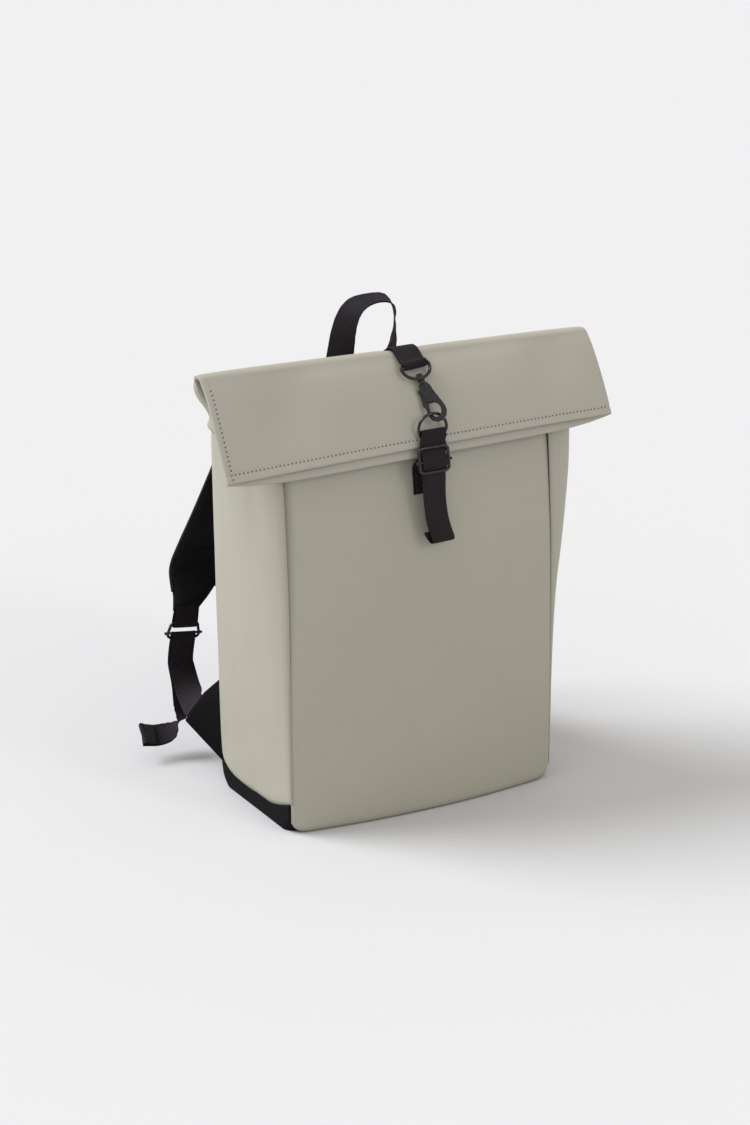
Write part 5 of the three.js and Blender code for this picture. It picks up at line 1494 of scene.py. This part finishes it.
@dataclass
class Padding:
    """Back panel and shoulder straps: padded pieces swollen by a short cloth simulation."""

    finishes: Finishes
    frames: int = 18

    def swell(self, obj: bpy.types.Object, pressure: float, cap: float) -> None:
        """Inflates a closed pad a little and applies the result.

        Args:
            obj: the pad.
            pressure: of the simulation.
            cap: how far a point may move, in mm.
        """
        scene = bpy.context.scene
        start = [v.co.copy() for v in obj.data.vertices]
        mod = obj.modifiers.new("swell", "CLOTH")
        mod.settings.use_pressure = True
        mod.settings.uniform_pressure_force = pressure
        mod.settings.effector_weights.gravity = 0
        mod.settings.quality = 5
        mod.point_cache.frame_end = self.frames
        for number in range(1, self.frames + 1):
            scene.frame_set(number)
        graph = bpy.context.evaluated_depsgraph_get()
        done = obj.evaluated_get(graph)
        moved = [v.co.copy() for v in done.data.vertices]
        obj.modifiers.remove(mod)
        scene.frame_set(1)
        for vert, a, b in zip(obj.data.vertices, start, moved):
            step = b - a
            if step.length > cap * MM:
                step *= cap * MM / step.length
            vert.co = a + step

    def pad_from(self, node: str, name: str, voxel: float) -> bpy.types.Object:
        """Remeshed copy of a padded solid."""
        bm = bmesh.new()
        bm.from_mesh(frame["nodes"][node].data)
        bmesh.ops.remove_doubles(bm, verts=bm.verts, dist=1e-6)
        obj = piece(name, bm, self.finishes.pad_cloth, (node,))
        mod = obj.modifiers.new("voxels", "REMESH")
        mod.mode = "VOXEL"
        mod.voxel_size = voxel * MM
        graph = bpy.context.evaluated_depsgraph_get()
        mesh = bpy.data.meshes.new_from_object(obj.evaluated_get(graph))
        obj.modifiers.remove(mod)
        old = obj.data
        obj.data = mesh
        mesh.name = name
        bpy.data.meshes.remove(old)
        if not mesh.materials:
            mesh.materials.append(self.finishes.pad_cloth)
        for face in mesh.polygons:
            face.use_smooth = True
        return obj

    def smooth(self, obj: bpy.types.Object, rounds: int = 6) -> None:
        """Evens out the steps of a remesh."""
        bm = bmesh.new()
        bm.from_mesh(obj.data)
        for _ in range(rounds):
            bmesh.ops.smooth_vert(bm, verts=bm.verts, factor=0.5,
                                  use_axis_x=True, use_axis_y=True, use_axis_z=True)
        bm.to_mesh(obj.data)
        bm.free()

    def channels(self, obj: bpy.types.Object) -> None:
        """Presses sewn channels into the back panel's outer face."""
        for vert in obj.data.vertices:
            x, y, z = (c / MM for c in vert.co)
            if y < BODY.back(z) + 0.5:
                continue
            depth = 0.0
            for line in (-46.0, 46.0):
                depth = max(depth, 3.0 * bump(x, line, 3.2))
            for line in (95.0, 190.0, 285.0):
                depth = max(depth, 2.6 * bump(z, line, 3.2))
            border = min(BODY.panel_half - abs(x), BODY.height - z, z - 26)
            depth = max(depth, 2.8 * bump(border, 9, 2.6))
            vert.co.y -= depth * MM

    def build(self) -> None:
        """Builds the back panel and both straps."""
        back = self.pad_from("back_panel", "padded_back", 3.0)
        self.swell(back, 3.0, 2.5)
        self.smooth(back, 3)
        self.channels(back)
        back.data.materials.clear()
        back.data.materials.append(self.finishes.mesh)
        for word, mirror in (("left", False), ("right", True)):
            self.build_strap(word, mirror)

    def strap_stations(self, mirror: bool) -> list[Section]:
        """Middle, width direction, face direction, width and thickness along a strap."""
        out = []
        widths = ((0, 54), (0.12, 56), (0.3, 59.5), (0.5, 60), (0.74, 60), (0.84, 56), (0.92, 43), (1, 27))
        thicks = ((0, 7.2), (0.15, 9), (0.7, 9), (0.8, 7.5), (0.88, 5.6), (1, 4.8))
        route = Route3(LAYOUT.pad(), skew=True)
        for k in range(61):
            t = k / 60
            at, side, up = route.sample(t)
            if mirror:
                at, side, up = (Vector((-v.x, v.y, v.z)) for v in (at, side, up))
            out.append((at, side, up, curve(widths, 1, t), curve(thicks, 1, t)))
        return out

    def bind_edges(self, word: str, stations: Sequence[Section]) -> None:
        """Adds the bound edges of a strap."""
        last = 55
        for edge in (-1, 1):
            def place(u: float, v: float, e: int = edge) -> Vector:
                """Point round the binding and along it."""
                k = min(v * last, last - 0.001)
                i = int(k)
                a, b = stations[i], stations[i + 1]
                at, side, up = (a[n].lerp(b[n], k - i) for n in range(3))
                width = a[3] + (b[3] - a[3]) * (k - i)
                angle = 2 * math.pi * u
                across = e * (width / 2 - 0.6) + 1.7 * math.cos(angle)
                return at + side * across + up * 2.1 * math.sin(angle)

            bm = cloth_grid(12, 120, place, (12, 260), weld=True)
            bmesh.ops.holes_fill(bm, edges=[e for e in bm.edges if e.is_boundary], sides=0)
            tidy_normals(bm)
            where = "inner" if edge > 0 else "outer"
            piece(f"strap_binding_{word}_{where}", bm, self.finishes.webbing)

    def edge_rows(self, stations: Sequence[Section]) -> list[StitchRow]:
        """Stitch rows inside both edges of a padded strap, on its outer face."""
        rows = []
        for edge in (-1, 1):
            def line(t: float, e: int = edge) -> tuple[Vector, Vector]:
                """Point of the row."""
                k = 2 + 51 * t
                i = int(k)
                a, b = stations[i], stations[i + 1]
                at, side, up = (a[n].lerp(b[n], k - i) for n in range(3))
                width, thick = (a[n] + (b[n] - a[n]) * (k - i) for n in (3, 4))
                share = 1 - 9.0 / width
                rise = (1 - share ** (2 / 0.55)) ** 0.35 * thick / 2
                return at + side * (e * share * width / 2) + up * (rise + 0.15), up

            rows.append(StitchRow(line, 240, 3.2, 2.4, 0.6))
        return rows

    def build_strap(self, word: str, mirror: bool) -> None:
        """Builds one padded strap with its bound edges, stitches and cross fold."""
        stations = self.strap_stations(mirror)

        def place(u: float, v: float) -> Vector:
            """Point round the strap's section and along it."""
            k = min(v * 60, 59.999)
            i = int(k)
            s = k - i
            a, b = stations[i], stations[i + 1]
            at, side, up = (a[n].lerp(b[n], s) for n in range(3))
            width, thick = (a[n] + (b[n] - a[n]) * s for n in (3, 4))
            angle = 2 * math.pi * u
            c, d = math.cos(angle), math.sin(angle)
            across = math.copysign(abs(c) ** 0.55, c) * width / 2
            out = math.copysign(abs(d) ** 0.7, d) * thick / 2
            fold = 1.7 * bump(v, 0.735, 0.012) * (1 - (2 * across / width) ** 6)
            out -= math.copysign(min(fold, abs(out) * 0.5), out)
            return at + side * across + up * out

        bm = cloth_grid(48, 150, place, (150, Route3(LAYOUT.pad()).length), weld=True)
        ends = [e for e in bm.edges if e.is_boundary]
        bmesh.ops.holes_fill(bm, edges=ends, sides=0)
        tidy_normals(bm)
        self.bind_edges(word, stations)
        rows = self.edge_rows(stations)
        stitch_piece(f"stitches_pad_{word}", rows, self.finishes.dark_thread)
        obj = piece(f"strap_pad_{word}", bm, self.finishes.pad_cloth, (f"shoulder_strap_{word}",))
        self.swell(obj, 2.0, 1.0)


@dataclass
class Straps:
    """All webbing, the wings and the stitched crosses."""

    finishes: Finishes

    def build(self) -> None:
        """Builds every band and wing."""
        web = self.finishes.webbing
        handle = Route3(LAYOUT.handle(), rounds=18)
        Webbing("handle_webbing", handle, ("haul_handle",), web).build()
        over = Route3(LAYOUT.closure_top())
        Webbing("closure_webbing_top", over, ("closure_strap_top",), web, step=1.0).build()
        lower = Route3(LAYOUT.closure_lower(), skew=True)
        for k in range(12):
            share = ease(k / 6)
            lower.side[k - 12] = lower.side[k - 12].lerp(Vector((1, 0.12, -0.03)), share).normalized()
        lower.fold_end(9, -1.9, -4)
        Webbing("closure_webbing_lower", lower, ("closure_strap_lower",), web, step=1.0).build()
        rows = self.sewn_box(handle, 2, 11) + self.sewn_box(handle, handle.length - 11, handle.length - 2)
        rows += self.sewn_box(over, 2.5, 17) + self.sewn_box(lower, 2.5, 17)
        stitch_piece("stitches_webbing", rows, self.finishes.dark_thread)
        for word, mirror in (("left", False), ("right", True)):
            side = 1 if mirror else -1
            slider = LAYOUT.strap_slider_frame(side)
            loop = Route3(LAYOUT.strap_loop())
            Webbing(f"strap_webbing_{word}", loop, (f"strap_loop_{word}",), web,
                    step=0.8, frame=slider).build()
            band = Route3(LAYOUT.adjuster(), mirror, rounds=2)
            band.fold_end(12, 1.9 * side, -1.5)
            Webbing(f"adjuster_band_{word}", band, (f"adjuster_webbing_{word}",), web, step=1.2).build()
            self.wing(word, side)

    def sewn_box(self, route: Route3, start: float, end: float) -> list[StitchRow]:
        """Stitch rows round a rectangle and across it on both faces of a band.

        Args:
            route: the band's route.
            start: where the rectangle begins, in mm along the route.
            end: where it ends.

        Returns:
            The rows.
        """
        def between(a: tuple[float, float], b: tuple[float, float], face: int) -> StitchRow:
            """Row between two points given by their places across and along."""
            def line(t: float) -> tuple[Vector, Vector]:
                """Point of the row."""
                along = a[1] + (b[1] - a[1]) * t
                at, side, up = route.sample(along / route.length)
                return at + side * (a[0] + (b[0] - a[0]) * t) + up * (0.8 * face), up * face

            return StitchRow(line, math.hypot(b[0] - a[0], b[1] - a[1]), 2.4, 1.8, 0.7)

        half = 9.5
        corners = [(-half, start), (half, start), (half, end), (-half, end)]
        pairs = [(corners[k], corners[(k + 1) % 4]) for k in range(4)]
        pairs += [(corners[0], corners[2]), (corners[1], corners[3])]
        return [between(a, b, face) for face in (-1, 1) for a, b in pairs]

    def wing(self, word: str, side: int) -> None:
        """Builds the cloth wing between the body's back edge and the adjuster."""
        def corner(rise: float, across: float, out: float, up: float) -> tuple[Vector, Vector]:
            """Root and tip of one of the wing's edges."""
            z = rise * BODY.height
            root = Vector((side * (BODY.width / 2 - 3), BODY.back(z) + 2.4, z))
            return root, LAYOUT.strap_place((across, out, up), side)

        low = corner(0.06, 0.571, 0.17, 0.155)
        high = corner(0.285, 0.512, 0.125, 0.226)
        face = (low[1] - low[0]).cross(high[0] - low[0]).normalized()

        def place(u: float, v: float) -> Vector:
            """Point of the wing's middle, with a soft sag."""
            a = low[0].lerp(low[1], u)
            b = high[0].lerp(high[1], u)
            p = a.lerp(b, v)
            return p + face * (1.1 + 0.8 * math.sin(math.pi * v) * math.sin(math.pi * u))

        bm = cloth_grid(26, 40, place, (60, 80))
        bmesh.ops.solidify(bm, geom=list(bm.faces), thickness=2.2 * MM)
        tidy_normals(bm)
        piece(f"wing_cloth_{word}", bm, self.finishes.nylon, (f"wing_{word}",))


@dataclass
class Studio:
    """Camera, floor and light."""

    turn: float = 28.69
    dip: float = 19.64
    roll: float = -0.32
    distance: float = 3394.47
    shift: tuple[float, float] = (8.37, 0.52)
    scale: float = 1.07

    def build(self) -> None:
        """Builds the camera, the floor and the lights."""
        self.camera()
        self.floor()
        self.lights()

    def camera(self) -> None:
        """Camera at the photograph's viewing angle."""
        a, e, r = (math.radians(v) for v in (self.turn, self.dip, self.roll))
        ahead = Vector((math.sin(a) * math.cos(e), math.cos(a) * math.cos(e), -math.sin(e)))
        right0 = Vector((math.cos(a), -math.sin(a), 0))
        up0 = right0.cross(ahead)
        right = right0 * math.cos(r) + up0 * math.sin(r)
        up = up0 * math.cos(r) - right0 * math.sin(r)
        at = Vector((0, 0, 220)) - ahead * self.distance - right * self.shift[0] - up * self.shift[1]
        data = bpy.data.cameras.new("camera")
        data.sensor_width = 36
        data.lens = self.scale * self.distance / 1125 * 36
        data.clip_start, data.clip_end = 0.05, 400
        camera = bpy.data.objects.new("camera", data)
        turn = Matrix((right, up, -ahead)).transposed().to_4x4()
        camera.matrix_world = Matrix.Translation(at * MM) @ turn
        bpy.context.scene.collection.objects.link(camera)
        bpy.context.scene.camera = camera

    def floor(self) -> None:
        """Plain pale floor."""
        material = bpy.data.materials.new("Pale floor")
        material.use_nodes = True
        shader = next(n for n in material.node_tree.nodes if n.type == "BSDF_PRINCIPLED")
        shader.inputs["Base Color"].default_value = (0.578, 0.574, 0.566, 1)
        shader.inputs["Roughness"].default_value = 0.9
        shader.inputs["Specular IOR Level"].default_value = 0.1
        bm = bmesh.new()
        bmesh.ops.create_grid(bm, x_segments=1, y_segments=1, size=90)
        mesh = bpy.data.meshes.new("floor")
        bm.to_mesh(mesh)
        bm.free()
        mesh.materials.append(material)
        floor = bpy.data.objects.new("floor", mesh)
        bpy.context.scene.collection.objects.link(floor)

    def sun(self, name: str, toward: tuple[float, float, float], strength: float, spread: float,
            tone: tuple[float, float, float] = (1, 1, 1)) -> None:
        """Adds a soft distant light.

        Args:
            name: its name.
            toward: direction from the bag to the light.
            strength: in watts per square metre.
            spread: its width in degrees.
            tone: its colour.
        """
        data = bpy.data.lights.new(name, "SUN")
        data.energy = strength
        data.angle = math.radians(spread)
        data.color = tone
        lamp = bpy.data.objects.new(name, data)
        lamp.rotation_mode = "QUATERNION"
        lamp.rotation_quaternion = Vector(toward).to_track_quat("Z", "Y")
        bpy.context.scene.collection.objects.link(lamp)

    def lights(self) -> None:
        """Soft key from behind on the left, a small front light and an even world."""
        self.sun("key", (-0.56, 0.44, 0.71), 3.0, 34, (0.98, 0.99, 1.05))
        self.sun("front", (0.35, -0.8, 0.45), 0.4, 12)
        world = bpy.data.worlds.new("studio")
        world.use_nodes = True
        back = next(n for n in world.node_tree.nodes if n.type == "BACKGROUND")
        back.inputs["Color"].default_value = (1, 1, 1, 1)
        back.inputs["Strength"].default_value = 0.8
        bpy.context.scene.world = world


def main() -> None:
    """Builds the backpack and its studio."""
    logging.basicConfig(level=logging.INFO, format="%(name)s %(message)s")
    bpy.context.scene.view_settings.view_transform = "Standard"
    Studio().build()
    finishes = Finishes()
    Body(finishes).build()
    Roll(finishes).build()
    Straps(finishes).build()
    Hardware(finishes).build()
    Padding(finishes).build()


if __name__ == "__main__":
    main()
